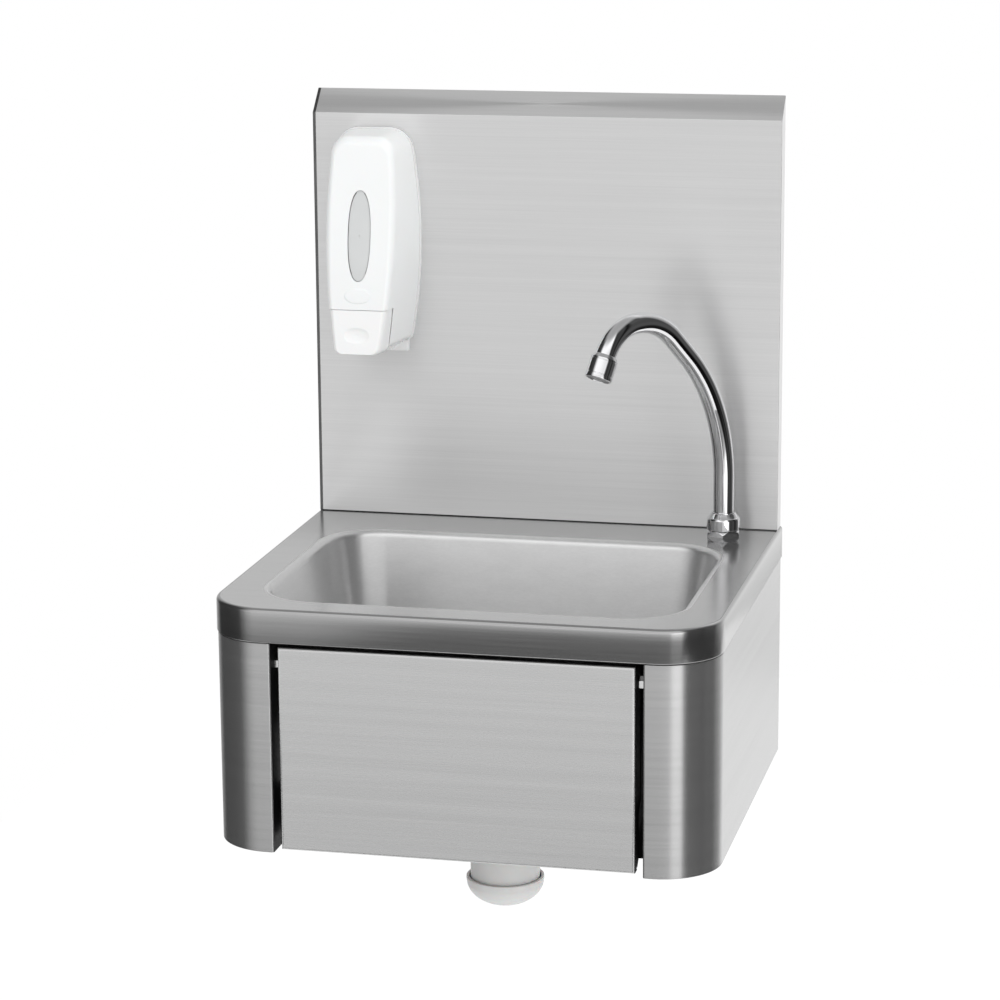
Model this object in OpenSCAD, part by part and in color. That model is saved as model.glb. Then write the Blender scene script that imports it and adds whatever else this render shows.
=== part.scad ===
// Wall-hung hand basin in sheet steel with a knee-operated valve, a swivel spout and a soap dispenser.
// X runs to the right, Y towards the wall and Z up. The wall is the plane Y = 0, and the origin is the
// centre of the four wall screw holes. Heights inside the modules are measured from the top of the rim.

/* [Basin] */
// Width across the rim
basin_w = 400; // [380:5:440]
// Depth from the wall to the front of the rim
basin_d = 350; // [345:1:380]
// Outer radius of the two front corners
corner_r = 48; // [40:1:56]
// Height of the folded edge of the deck
apron_h = 27.6; // [22:0.2:32]
// Depth of the housing below the top of the rim
housing_h = 196; // [192:1:230]
// Thickness of the sheet steel
sheet_t = 1.2; // [1:0.1:1.5]

/* [Bowl] */
// Width of the bowl at the deck
bowl_w = 340; // [320:2:350]
// Depth of the bowl from front to back at the deck
bowl_d = 246; // [230:2:250]
// Distance from the wall to the middle of the bowl
bowl_y = 200; // [196:1:204]
// Corner radius of the bowl at the deck
bowl_r = 50; // [45:1:60]
// Depth of the bowl
bowl_h = 130; // [110:1:134]
// Distance from the wall to the waste
waste_y = 180; // [176:1:190]

/* [Splashback] */
// Width of the splashback
splash_w = 397; // [380:1:397]
// Height of the flat front above the rim
splash_h = 343; // [340:1:400]
// Rise of the slanted top from the front to the wall
splash_rise = 19; // [10:1:30]
// Distance from the wall to the front of the splashback
splash_d = 20; // [18:1:24]

/* [Knee panel] */
// Width of the knee panel
panel_w = 279; // [270:1:279]
// Gap between the panel and the pillar on each side
panel_gap = 6; // [6:0.5:8]
// Gap between the folded edge of the deck and the panel
panel_top_gap = 2.8; // [2.4:0.2:4]
// Height of the pivot below the top of the rim
pivot_drop = 46; // [44:1:50]

/* [Tap] */
// Distance of the tap to the right of the middle
tap_x = 159; // [150:1:162]
// Distance from the wall to the tap
tap_y = 58; // [54:1:60]
// Outer diameter of the spout tube
tube_d = 17; // [15:0.5:18]
// Direction of the spout at rest, anticlockwise from +X
spout_angle = 238; // [180:1:350]

/* [Soap dispenser] */
// Distance of the dispenser to the left of the middle
soap_x = 144; // [140:1:146]
// Width of the back plate at its widest
soap_w = 78; // [74:1:80]
// Bottom of the cover above the rim
soap_low = 153.5; // [150:0.5:156]
// Top of the back plate above the rim
soap_high = 332; // [330:1:334]
// Angle at which the front of the dispenser leans back
soap_lean = 9.4; // [8:0.2:10]

/* [Hidden] */
$fn = 64;
// Height of the top of the rim above the wall holes
rim_z = 105;
skin = 0.01;

// Wall fixing
wall_hole_x = 184;
wall_hole_pitch = 100;
wall_hole_r = 4.5;
wall_flange = 28;

// Deck and housing
edge_r = 3;
apron_return = 12;
side_inset = 0.8;
pillar_in = panel_w / 2 + panel_gap;
pillar_return = 36;
side_h = housing_h - apron_h;

// Bowl
lip_r = 6;
floor_r = 34;
bowl_taper = 15;
recess_r = 37;
recess_h = 3;
waste_hole_r = 24;

// Waste and trap
strainer_r = 35;
strainer_t = 1.2;
drain_hole_r = 2.4;
// Rings of drain holes: distance from the middle and number of holes
drain_rings = [[9.5, 8], [17, 12]];
waste_screw_r = 3;
spider_arm = 17.5;
spider_drop = 14;
tail_r = 16;
tail_wall = 1.8;
collar_r = 20;
thread_r = 20.5;
nut_in_r = 20.7;
nut_r = 24;
nut_h = 15.5;
nut_ribs = 16;
trap_wall = 2.5;
trap_shoulder = 6;
trap_socket = 14;
outlet_drop = 212;
bottle_r = 28.5;
bottle_top = 190;
bottle_low = 264;
cup_r = 32;
cup_low = 286;
cup_sphere_r = 33;

// Knee panel and its pivots
panel_front = basin_d - side_inset;
panel_top = apron_h + panel_top_gap;
panel_low = housing_h - 3;
pivot_y = basin_d - 15;
pivot_pin_r = 3;
pivot_fit = 0.07;

// Knee valve and its cross bar
valve_z = 168;
bar_drop = 188;
bar_h = 40;
bar_t = 1.8;
rail_y = 318;
valve_stroke_gap = 0.3;
button_y = panel_front - sheet_t - valve_stroke_gap;
valve_r = 15;
valve_port_y = 284;
nipple_r = 8.33;
nipple_x = [62, 98];
tee_x = [48, 112];
tee_side = 24;
water_r = 5;
pipe_r = 5;
pipe_bend = 20;
riser_x = 24;

// Tap and spout
base_hex = 26;
base_h = 9;
tap_shank = 44;
shank_r = 10.4;
cap_hex = 25;
cap_h = 15;
spout_low = 5;
tap_bore_fit = 0.06;
tube_wall = 1.9;
rise_top = 53;
// Bends of the spout from its base to its mouth: radius, angle and straight length after it
spout_bends = [[150, 46, 25], [60, 44, 3], [38, 64, 1]];
// How far a straight piece reaches into the bends beside it, which are thinner than it is by the skin
lap = 0.1;
aerator_r = 11;
aerator_l = 19;

// Soap dispenser
wall_t = 1.6;
plate_t = 4;
soap_front = 93;
side_bow = 0.28;
back_belly = 88.5;
front_belly = 106;
seam_z = 187.6;
seam_y = 72;
lever_gap = 0.35;
lever_drop = 3.2;
hinge_y = 30;
hinge_z = soap_low + 4;
lever_pin_y = 66;
lever_pin_z = 182;
pump_z = 163.5;
piston_r = 4.94;
piston_y = 75;
pump_bore = 5;
pin_r = 2;
pin_fit = 0.07;
hinge_eye_r = 5.2;
ear_x = 23.5;
ear_r = 4.5;
arm_x = 21;
arm_t = 2.2;
arm_r = 3.5;
plunger_w = 20;
plunger_y = piston_y + 2.3;
window_up = 95.6;
window_half = 9.8;
window_tall = 37.4;
oval_up = 46;
oval_half = [11.4, 6.4];
thumb_r = 60;
thumb_deep = 0.9;
thumb_up = 7;
bottle_w = 42;
bottle_d = 30;
bottle_y = 46;
bottle_low_z = 172;
bottle_h = 134;
nozzle_y = 46;
nozzle_r = 5.3;
nozzle_low = 147.5;
// Sections of the dispenser behind its leaning front: depth behind it, half width, lower and upper end
front_sections = [[5, 29.6, 0, 177], [1.6, 28.2, 0, 174], [0, 25, 1, 171]];

// Moves a piece from heights measured at the rim to heights measured at the wall holes
module at_rim() translate([0, 0, rim_z]) children();

// Cylinder along Z between two heights
module tube_z(r, low, high) translate([0, 0, low]) cylinder(r = r, h = high - low);

// Ring along Z between two heights
module ring_z(r_out, r_in, low, high) difference() {
    tube_z(r_out, low, high);
    tube_z(r_in, low - 1, high + 1);
}

// Turns a piece made along Z so that its Z points to the wall
module to_wall() rotate([-90, 0, 0]) children();

// Turns a piece made along Z so that its Z points to the right
module to_right() rotate([0, 90, 0]) children();

// Hexagonal bar along Z between two heights, measured across its flats
module hex_z(flats, low, high) translate([0, 0, low]) cylinder(d = flats / cos(30), h = high - low, $fn = 6);

// Hexagonal nut with both ends chamfered to a cone
module chamfered_hex(flats, low, high) intersection() {
    hex_z(flats, low, high);
    union() {
        tube_z(flats, low + 1.2, high - 1.2);
        translate([0, 0, high - 1.2]) cylinder(r1 = flats * 0.577, r2 = flats * 0.5, h = 1.2);
        translate([0, 0, low]) cylinder(r1 = flats * 0.5, r2 = flats * 0.577, h = 1.2);
        tube_z(flats * 0.577, low + 1.19, high - 1.19);
    }
}

// Rectangle with round corners about the origin
module rounded(w, d, r) {
    square([w - 2 * r, d], center = true);
    square([w, d - 2 * r], center = true);
    for (sx = [-1, 1], sy = [-1, 1]) translate([sx * (w / 2 - r), sy * (d / 2 - r)]) circle(r);
}

// Quarter of a ring: the part in the +X, +Y corner
module quarter(r, t) intersection() {
    difference() {
        circle(r);
        circle(r - t);
    }
    square(r + 1);
}

// Sweeps a profile round a rounded rectangle; its X is measured outwards from the corner's centre
module swept(w, d, r) for (i = [0:3]) {
    a = (i % 2 == 0 ? w : d) / 2 - r;
    b = (i % 2 == 0 ? d : w) / 2 - r;
    rotate([0, 0, 90 * i]) {
        translate([a, b, 0]) rotate_extrude(angle = 90) children();
        translate([a, b, 0]) rotate([90, 0, 0]) linear_extrude(2 * b) children();
    }
}

// Plan of the rim, drawn in from its edge: square at the wall and round at the front
module rim_plan(inset) {
    half = basin_w / 2;
    translate([inset - half, corner_r - basin_d]) square([2 * (half - inset), basin_d - corner_r]);
    translate([corner_r - half, inset - basin_d]) square([2 * (half - corner_r), corner_r]);
    for (s = [-1, 1]) translate([s * (half - corner_r), corner_r - basin_d]) circle(corner_r - inset);
}

// Section of the folded edge of the deck, X from the centre of the corner
module rim_profile() {
    translate([corner_r - edge_r, -edge_r]) quarter(edge_r, sheet_t);
    translate([corner_r - sheet_t, edge_r / 2 - apron_h]) square([sheet_t, apron_h - 1.5 * edge_r]);
    translate([corner_r - edge_r / 2, edge_r / 2 - apron_h]) mirror([0, 1]) quarter(edge_r / 2, sheet_t);
    translate([corner_r - apron_return, -apron_h]) square([apron_return - edge_r / 2, sheet_t]);
}

// Folded edge of the deck along the left side, the front and the right side
module rim_edge() {
    half = basin_w / 2 - corner_r;
    run = basin_d - corner_r;
    translate([half, 0, 0]) rotate([90, 0, 0]) linear_extrude(run) rim_profile();
    translate([half, -run, 0]) rotate([0, 0, -90]) rotate_extrude(angle = 90) rim_profile();
    translate([half, -run, 0]) rotate([0, 0, -90]) rotate([90, 0, 0]) linear_extrude(2 * half) rim_profile();
    translate([-half, -run, 0]) rotate([0, 0, 180]) rotate_extrude(angle = 90) rim_profile();
    translate([-half, -run, 0]) rotate([0, 0, 180]) rotate([90, 0, 0]) linear_extrude(run) rim_profile();
}

module deck() at_rim() color("silver") difference() {
    union() {
        translate([0, 0, -sheet_t]) linear_extrude(sheet_t) difference() {
            rim_plan(edge_r);
            translate([0, -bowl_y]) rounded(bowl_w, bowl_d, bowl_r);
        }
        rim_edge();
    }
    translate([tap_x, -tap_y, 0]) tube_z(11, -2, 1);
}

// Space inside the bowl, grown outwards by the given thickness
module bowl_form(grow, rise) hull() {
    w = bowl_w - 2 * lip_r + 2 * grow;
    d = bowl_d - 2 * lip_r + 2 * grow;
    translate([0, 0, -lip_r]) linear_extrude(rise) rounded(w, d, bowl_r - lip_r + grow, $fn = 32);
    for (sx = [-1, 1], sy = [-1, 1]) {
        x = sx * (bowl_w / 2 - lip_r - bowl_taper - floor_r);
        y = sy * (bowl_d / 2 - lip_r - bowl_taper - floor_r);
        translate([x, y, floor_r - bowl_h]) sphere(floor_r + grow, $fn = 32);
    }
}

module bowl() at_rim() color("gainsboro") {
    translate([0, -bowl_y, 0]) swept(bowl_w, bowl_d, bowl_r)
        translate([bowl_r, -lip_r]) mirror([1, 0]) quarter(lip_r, sheet_t);
    difference() {
        union() {
            translate([0, -bowl_y, 0]) bowl_form(sheet_t, 0.1);
            translate([0, -waste_y, 0]) tube_z(recess_r + sheet_t, -bowl_h - recess_h - sheet_t, -bowl_h);
        }
        translate([0, -bowl_y, 0]) bowl_form(0, 5);
        translate([0, -waste_y, 0]) tube_z(recess_r, -bowl_h - recess_h, -bowl_h + 1);
        translate([0, -waste_y, 0]) tube_z(waste_hole_r, -bowl_h - 10, -bowl_h);
    }
}

// Space behind the splashback's surface, that far inside its sheet
module splash_block(inset) {
    slant = norm([splash_d, splash_rise]) / splash_d;
    drop = inset * (slant - splash_rise / splash_d);
    back = inset > 0 ? 1 : 0;
    translate([inset - splash_w / 2, 0, 0]) rotate([90, 0, 90]) linear_extrude(splash_w - 2 * inset) polygon([
        [back, -back], [inset - splash_d, -back], [inset - splash_d, splash_h - drop],
        [back, splash_h + splash_rise + back * splash_rise / splash_d - inset * slant]
    ]);
}

module splashback() at_rim() color("lightgray") {
    inner_w = splash_w - 2 * sheet_t;
    difference() {
        splash_block(0);
        splash_block(sheet_t);
        for (z = soap_fixings()) translate([-soap_x, -splash_d - 1, z]) to_wall() cylinder(r = 2.3, h = 5);
    }
    translate([-inner_w / 2, sheet_t - splash_d, 0]) cube([inner_w, splash_d - 6, sheet_t]);
    translate([-inner_w / 2, -sheet_t, splash_h]) cube([inner_w, sheet_t, splash_rise - 3]);
}

// Heights of the two screws that hold the dispenser
function soap_fixings() = [soap_low + 24.5, soap_high - 31];

// Plan of the right side: flange at the wall, side, round pillar and return at the front
module side_plan() {
    out = basin_w / 2 - side_inset;
    fold = 2;
    intersection() {
        difference() {
            rim_plan(side_inset);
            rim_plan(side_inset + sheet_t);
        }
        translate([pillar_in + fold, -basin_d]) square([basin_w, basin_d - fold]);
    }
    translate([pillar_in + fold, fold - panel_front]) rotate(180) quarter(fold, sheet_t);
    translate([pillar_in, fold - panel_front]) square([sheet_t, pillar_return - fold]);
    translate([out - fold, -fold]) quarter(fold, sheet_t);
    translate([out - wall_flange, -sheet_t]) square([wall_flange - fold, sheet_t]);
}

module right_panel() difference() {
    union() {
        translate([0, 0, -housing_h]) linear_extrude(side_h) side_plan();
        translate([0, 0, -apron_h - sheet_t]) linear_extrude(sheet_t) intersection() {
            difference() {
                rim_plan(side_inset + sheet_t / 2);
                rim_plan(apron_return);
            }
            translate([pillar_in + sheet_t / 2, -basin_d]) square([basin_w, basin_d - 5]);
        }
    }
    for (s = [-1, 1]) translate([wall_hole_x, -5, s * wall_hole_pitch / 2 - rim_z])
        to_wall() cylinder(r = wall_hole_r, h = 10);
    translate([pillar_in - 1, -pivot_y, -pivot_drop]) to_right() cylinder(r = pivot_pin_r + 0.2, h = 4);
}

module right_side() at_rim() color("silver") right_panel();

module left_side() at_rim() color("silver") mirror([1, 0, 0]) right_panel();

// Cross bar behind the knee panel that carries the valve
module valve_rail() at_rim() color("darkgray") difference() {
    union() {
        translate([-pillar_in, -rail_y, -bar_drop]) cube([2 * pillar_in, bar_t, bar_h]);
        translate([-pillar_in, -rail_y, -bar_drop]) cube([2 * pillar_in, 14, bar_t]);
    }
    translate([0, -rail_y - 1, -valve_z]) to_wall() cylinder(r = 10.3, h = 6);
}

module at_waste() at_rim() translate([0, -waste_y, 0]) children();

recess_floor = -bowl_h - recess_h;

module strainer_seal() at_waste() color("dimgray")
    ring_z(strainer_r - 2, waste_hole_r + 1, recess_floor, recess_floor + 1);

module strainer() at_waste() color("silver") difference() {
    union() {
        tube_z(strainer_r, recess_floor + 1, recess_floor + 1 + strainer_t);
        tube_z(waste_hole_r - 1, recess_floor - 6, recess_floor + 1.1);
    }
    tube_z(waste_hole_r - 1 - strainer_t, recess_floor - 7, recess_floor + 1 - strainer_t);
    tube_z(waste_screw_r + 0.3, recess_floor - 7, recess_floor + 3);
    for (ring = drain_rings, i = [0:ring[1] - 1]) rotate([0, 0, 360 * (i + 0.5) / ring[1]])
        translate([ring[0], 0, 0]) tube_z(drain_hole_r, recess_floor - 1, recess_floor + 3);
}

module waste_screw() at_waste() color("gainsboro") {
    head_z = recess_floor + 1 + strainer_t;
    translate([0, 0, head_z]) cylinder(r1 = 2 * waste_screw_r, r2 = 1.5 * waste_screw_r, h = 1.4);
    tube_z(waste_screw_r, head_z - 18.2, head_z + 0.1);
}

module waste_seal() at_waste() color("dimgray")
    ring_z(strainer_r - 1, waste_hole_r + 1, recess_floor - sheet_t - 2, recess_floor - sheet_t);

seat_z = recess_floor - sheet_t - 2;

// Waste under the bowl: a flanged funnel with a threaded neck and a spider that holds the screw
module waste_body() at_waste() color("whitesmoke") {
    flange_t = 2.5;
    funnel_low = seat_z - 12;
    neck_in = tail_r + 1;
    throat_r = waste_hole_r + 0.6;
    difference() {
        union() {
            tube_z(strainer_r, seat_z - flange_t, seat_z);
            translate([0, 0, funnel_low]) cylinder(r1 = neck_in + 5, r2 = throat_r + 3.4, h = 9.6);
            tube_z(thread_r, seat_z - 34, funnel_low + 0.1);
        }
        tube_z(throat_r, seat_z - 2 * flange_t, seat_z + 1);
        translate([0, 0, funnel_low]) cylinder(r1 = neck_in, r2 = throat_r, h = 7.1);
        tube_z(neck_in, seat_z - 40, funnel_low + 0.1);
    }
    difference() {
        union() {
            tube_z(waste_screw_r + 2.5, seat_z - spider_drop, seat_z - 6);
            for (a = [0, 60, 120]) rotate([0, 0, a]) translate([-spider_arm, -1, seat_z - spider_drop])
                cube([2 * spider_arm, 2, 6]);
        }
        tube_z(waste_screw_r, seat_z - spider_drop - 1, seat_z - 5);
    }
}

// Union nut along Z with grip ribs round it and a lip that turns in at its low end
module union_nut(lip, low, high) difference() {
    union() {
        tube_z(nut_r, low, high);
        for (i = [0:nut_ribs - 1]) rotate([0, 0, i * 360 / nut_ribs]) translate([nut_r - 0.6, 0, 0])
            tube_z(1.6, low, high - 2);
    }
    tube_z(nut_in_r, low + 2.5, high + 1);
    tube_z(lip, low - 1, high + 1);
}

module waste_nut() at_waste() color("whitesmoke")
    union_nut(tail_r + 0.4, seat_z - 38, seat_z - 22);

module tail_pipe() at_waste() color("whitesmoke") difference() {
    union() {
        tube_z(tail_r, -bottle_low + 8, seat_z - 34.2);
        tube_z(collar_r, seat_z - 35.4, seat_z - 34.1);
    }
    tube_z(tail_r - tail_wall, -bottle_low, seat_z);
}

module inlet_nut() at_waste() color("whitesmoke")
    rotate([180, 0, 0]) union_nut(tail_r + 0.2, bottle_top - 13.4, bottle_top - 0.2);

module trap_body() at_waste() color("whitesmoke") difference() {
    shoulder_z = -bottle_top - trap_shoulder;
    roof_z = shoulder_z - trap_wall + 0.1;
    union() {
        tube_z(thread_r, -bottle_top, -bottle_top + 10.8);
        translate([0, 0, shoulder_z]) cylinder(r1 = bottle_r, r2 = thread_r + 1.5, h = trap_shoulder + 0.1);
        tube_z(bottle_r, -bottle_low, shoulder_z + 0.1);
        translate([0, 0, -outlet_drop]) to_wall() cylinder(r = tail_r + 2, h = bottle_r + trap_socket);
        translate([0, bottle_r + 3, -outlet_drop]) to_wall() cylinder(r = thread_r, h = trap_socket);
    }
    tube_z(tail_r + 0.2, shoulder_z - 2, -bottle_top + 12);
    translate([0, 0, roof_z]) cylinder(r1 = bottle_r - trap_wall, r2 = collar_r, h = 4);
    tube_z(bottle_r - trap_wall, -bottle_low - 1, roof_z + 0.1);
    translate([0, 0, -outlet_drop]) to_wall() cylinder(r = tail_r + 0.2, h = bottle_r + 3 * trap_socket);
}

module trap_cup_seal() at_waste() color("dimgray")
    ring_z(bottle_r - 0.2, bottle_r - 4, -bottle_low - 1.5, -bottle_low);

module trap_cup() at_waste() color("white") {
    middle = cup_sphere_r - cup_low - 1.5;
    rim = -bottle_low - 2.5;
    rotate_extrude() difference() {
        union() {
            translate([0, rim]) square([cup_r, 5]);
            intersection() {
                translate([0, middle]) circle(cup_sphere_r);
                translate([0, -cup_low]) square([cup_r, cup_low + rim + skin]);
            }
        }
        translate([-1, rim + 1]) square([bottle_r + 1.2, 5]);
        intersection() {
            translate([0, middle]) circle(cup_sphere_r - 2.4);
            translate([-1, 3 - cup_low]) square([cup_r, cup_low + rim - 1.9]);
        }
        translate([-cup_r, -cup_low - 1]) square([cup_r, 40]);
    }
}

module at_outlet() at_waste() translate([0, 0, -outlet_drop]) to_wall() children();

module outlet_nut() at_outlet() color("whitesmoke") translate([0, 0, bottle_r + 22])
    rotate([180, 0, 0]) union_nut(tail_r + 0.2, 0, nut_h);

module outlet_pipe() at_outlet() color("whitesmoke") difference() {
    union() {
        tube_z(tail_r - 1, bottle_r + 4, bottle_r + 22.4);
        tube_z(tail_r, bottle_r + 22.3, waste_y);
        ring_z(collar_r, tail_r - 2, bottle_r + 17.2, bottle_r + 18.4);
    }
    tube_z(tail_r - 1 - 0.9 * tail_wall, bottle_r, waste_y + 1);
}

module at_tap() at_rim() translate([tap_x, -tap_y, 0]) children();

module tap_body() at_tap() color("gainsboro") difference() {
    union() {
        chamfered_hex(base_hex, 0, base_h);
        tube_z(shank_r, -tap_shank, 0.1);
        tube_z(shank_r, base_h - 0.1, base_h + 10);
    }
    tube_z(tube_d / 2 + tap_bore_fit, spout_low - 0.5, base_h + 12);
    tube_z(5, -50, spout_low);
}

module tap_washer() at_tap() color("dimgray") ring_z(17, 10.6, -sheet_t - 2.5, -sheet_t);

module tap_locknut() at_tap() color("goldenrod") difference() {
    hex_z(30, -sheet_t - 10, -sheet_t - 2.5);
    tube_z(shank_r, -20, 0);
}

// Cap nut that holds the spout down on the tap body
module cap_nut() at_tap() color("gainsboro") difference() {
    intersection() {
        hex_z(cap_hex, base_h, base_h + cap_h);
        union() {
            tube_z(cap_hex, base_h, base_h + cap_h - 4);
            translate([0, 0, base_h + cap_h - 4.01]) cylinder(r1 = cap_hex * 0.578, r2 = tube_d / 2 + 1.4, h = 4.01);
        }
    }
    tube_z(shank_r, base_h - 1, base_h + 10.3);
    tube_z(tube_d / 2 + tap_bore_fit, base_h, base_h + 20);
}

// Turns the spout's own plane, with X along its reach, to the way it points at rest
module at_spout() at_tap() rotate([0, 0, spout_angle]) children();

// Bent bar in the XZ plane: starts going up at the origin and turns towards +X
module bend_up(r, angle, thick) translate([r, 0, 0]) rotate([90, 0, 0]) rotate([0, 0, 180 - angle])
    rotate_extrude(angle = angle) translate([r, 0]) circle(thick);

// Carries its children to the end of a bend of the given radius and angle
module after_bend(r, angle) translate([r * (1 - cos(angle)), 0, r * sin(angle)]) rotate([0, angle, 0]) children();

// Bar along the spout's centre line from the start of a bend to the mouth, and some way past it
module spout_path(i, thick, past) if (i < len(spout_bends)) {
    bend = spout_bends[i];
    bend_up(bend[0], bend[1], thick - skin);
    after_bend(bend[0], bend[1]) {
        tube_z(thick, -lap, bend[2] + (i + 1 < len(spout_bends) ? lap : past));
        translate([0, 0, bend[2]]) spout_path(i + 1, thick, past);
    }
}

// Carries its children along the spout's centre line from the start of a bend to the mouth
module along_spout(i) if (i < len(spout_bends)) {
    after_bend(spout_bends[i][0], spout_bends[i][1]) translate([0, 0, spout_bends[i][2]])
        along_spout(i + 1) children();
} else {
    children();
}

// Carries its children to the mouth of the spout, with Z along the water
module at_mouth() at_spout() translate([0, 0, rise_top]) along_spout(0) children();

module spout() color("gainsboro") at_spout() difference() {
    union() {
        tube_z(tube_d / 2, spout_low, rise_top + lap);
        translate([0, 0, rise_top]) spout_path(0, tube_d / 2, 0);
    }
    tube_z(tube_d / 2 - tube_wall, spout_low - 1, rise_top + lap);
    translate([0, 0, rise_top]) spout_path(0, tube_d / 2 - tube_wall, 2);
    translate([0, 0, spout_low + 5]) ring_z(tube_d, tube_d / 2 - 1.3, -0.9, 0.9);
}

module spout_ring() color("black") at_spout() translate([0, 0, spout_low + 5])
    rotate_extrude() translate([tube_d / 2 - 0.65, 0]) circle(0.63, $fn = 24);

// Chrome housing screwed on the mouth of the spout
module aerator() color("gainsboro") at_mouth() difference() {
    union() {
        translate([0, 0, -1]) cylinder(r1 = tube_d / 2 + 0.6, r2 = aerator_r, h = 3.2);
        tube_z(aerator_r, 2.19, aerator_l - 1);
        translate([0, 0, aerator_l - 1.01]) cylinder(r1 = aerator_r, r2 = aerator_r - 0.9, h = 1.01);
    }
    tube_z(tube_d / 2, -2, 0.5);
    tube_z(tube_d / 2 - tube_wall, -2, 6);
    tube_z(aerator_r - 1.8, 5, aerator_l + 1);
}

module aerator_insert() color("lightgray") at_mouth() difference() {
    tube_z(aerator_r - 1.8, 8, aerator_l - 1.2);
    tube_z(1.1, 7, aerator_l);
    for (ring = [1:3], i = [0:6 * ring - 1]) rotate([0, 0, i * 60 / ring])
        translate([2.6 * ring, 0, 0]) tube_z(0.8, aerator_l - 3, aerator_l, $fn = 16);
}

// Side flange of the knee panel: deep above the cross bar and shallower in front of it
module panel_flange() {
    top = -panel_top - 2;
    low = -panel_low + 2;
    bar_top = bar_h - bar_drop;
    translate([0, -panel_front, 0]) rotate([90, 0, 90]) linear_extrude(sheet_t) polygon([
        [2, top], [26, top], [26, bar_top + 8], [17, bar_top - 2], [17, low + 5], [12, low], [2, low]
    ]);
}

module knee_panel() at_rim() color("lightgray") {
    w = panel_w / 2;
    fold = 2;
    difference() {
        union() {
            translate([-w + fold, -panel_front, -panel_low + fold])
                cube([panel_w - 2 * fold, sheet_t, panel_low - panel_top - 2 * fold]);
            for (s = [0, 1]) mirror([s, 0, 0]) {
                translate([w - fold, fold - panel_front, -panel_low + fold])
                    linear_extrude(panel_low - panel_top - 2 * fold) mirror([0, 1]) quarter(fold, sheet_t);
                translate([w - sheet_t, 0, 0]) panel_flange();
            }
            translate([-w, fold - panel_front, -panel_top - fold]) rotate([90, 0, 90])
                linear_extrude(panel_w) mirror([1, 0]) quarter(fold, sheet_t);
            translate([-w, fold - panel_front, -panel_top - sheet_t]) cube([panel_w, 12, sheet_t]);
            translate([-w, fold - panel_front, fold - panel_low]) rotate([90, 0, 90])
                linear_extrude(panel_w) rotate(180) quarter(fold, sheet_t);
            translate([-w, fold - panel_front, -panel_low]) cube([panel_w, 8, sheet_t]);
        }
        translate([-basin_w / 2, -pivot_y, -pivot_drop]) to_right() cylinder(r = pivot_pin_r + pivot_fit, h = basin_w);
    }
}

module both_pivots() for (s = [0, 1]) mirror([s, 0, 0])
    at_rim() translate([0, -pivot_y, -pivot_drop]) to_right() children();

module pivot_bolts() color("gainsboro") both_pivots() {
    tube_z(pivot_pin_r, panel_w / 2 - 6, pillar_in + sheet_t + 0.1);
    hex_z(10, pillar_in + sheet_t, pillar_in + sheet_t + 4);
}

module pivot_nuts() color("gainsboro") both_pivots() difference() {
    hex_z(10, pillar_in - 5, pillar_in);
    tube_z(pivot_pin_r, pillar_in - 6, pillar_in + 1);
}

module at_valve() at_rim() translate([0, 0, -valve_z]) children();

// Places a piece made along Z on the valve's axis, with Z = 0 at the front of the cross bar
module along_valve() at_valve() translate([0, -rail_y, 0]) to_wall() children();

module valve_body() color("goldenrod") difference() {
    union() {
        along_valve() {
            tube_z(10, -7, 2.1);
            tube_z(valve_r, bar_t, 50);
            chamfered_hex(26, 50, 58);
        }
        at_valve() translate([-24, -valve_port_y, 0]) to_right() cylinder(r = 9, h = 48);
    }
    along_valve() tube_z(6.2, -8, 40);
    at_valve() translate([-25, -valve_port_y, 0]) to_right() cylinder(r = water_r, h = 50);
}

module valve_locknut() color("goldenrod") along_valve() difference() {
    hex_z(27, -5, 0);
    tube_z(10, -6, 1);
}

module valve_button() color("whitesmoke") along_valve() {
    translate([0, 0, rail_y - button_y]) {
        cylinder(r1 = 11, r2 = 13, h = 2);
        tube_z(13, 1.99, 6);
    }
    tube_z(6.15, rail_y - button_y + 5.9, 24);
}

// Tube along a helix about Z, closed at both ends
module spring(r, wire, turns, l) {
    steps = 18;
    sides = 6;
    rings = turns * steps;
    points = [for (i = [0:rings], j = [0:sides - 1]) let (
        a = 360 * i / steps,
        b = 360 * j / sides,
        q = r + wire * cos(b)
    ) [q * cos(a), q * sin(a), wire + (l - 2 * wire) * i / rings + wire * sin(b)]];
    walls = [for (i = [0:rings - 1], j = [0:sides - 1]) let (
        k = (j + 1) % sides,
        p = i * sides
    ) each [[p + j, p + k, p + sides + k], [p + j, p + sides + k, p + sides + j]]];
    first = [for (j = [1:sides - 2]) [0, j + 1, j]];
    last = [for (j = [1:sides - 2]) [rings * sides, rings * sides + j, rings * sides + j + 1]];
    polyhedron(points, concat(walls, first, last));
}

module valve_spring() color("silver") along_valve()
    translate([0, 0, rail_y - button_y + 6.3]) spring(9, 0.7, 3.5, -7.4 - (rail_y - button_y + 6.3));

// Tee that mixes hot and cold water in front of the valve
module mixing_tee() color("goldenrod") at_valve() difference() {
    union() {
        translate([-tee_x[1], -valve_port_y - tee_side / 2, -tee_side / 2])
            cube([tee_x[1] - tee_x[0], tee_side, tee_side]);
        translate([-tee_x[0] - 0.1, -valve_port_y, 0]) to_right() cylinder(r = 8, h = tee_side + 0.1);
        translate([-tee_x[0] + 10, -valve_port_y, 0]) to_right() hex_z(20, 0, 8);
        for (x = nipple_x) translate([-x, -valve_port_y + tee_side / 2 - 0.1, 0]) to_wall()
            cylinder(r = nipple_r, h = 14.1);
    }
    translate([-tee_x[1] + 8, -valve_port_y, 0]) to_right() cylinder(r = water_r, h = 100);
    for (x = nipple_x) translate([-x, -valve_port_y, 0]) to_wall() cylinder(r = water_r, h = 30);
}

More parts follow.
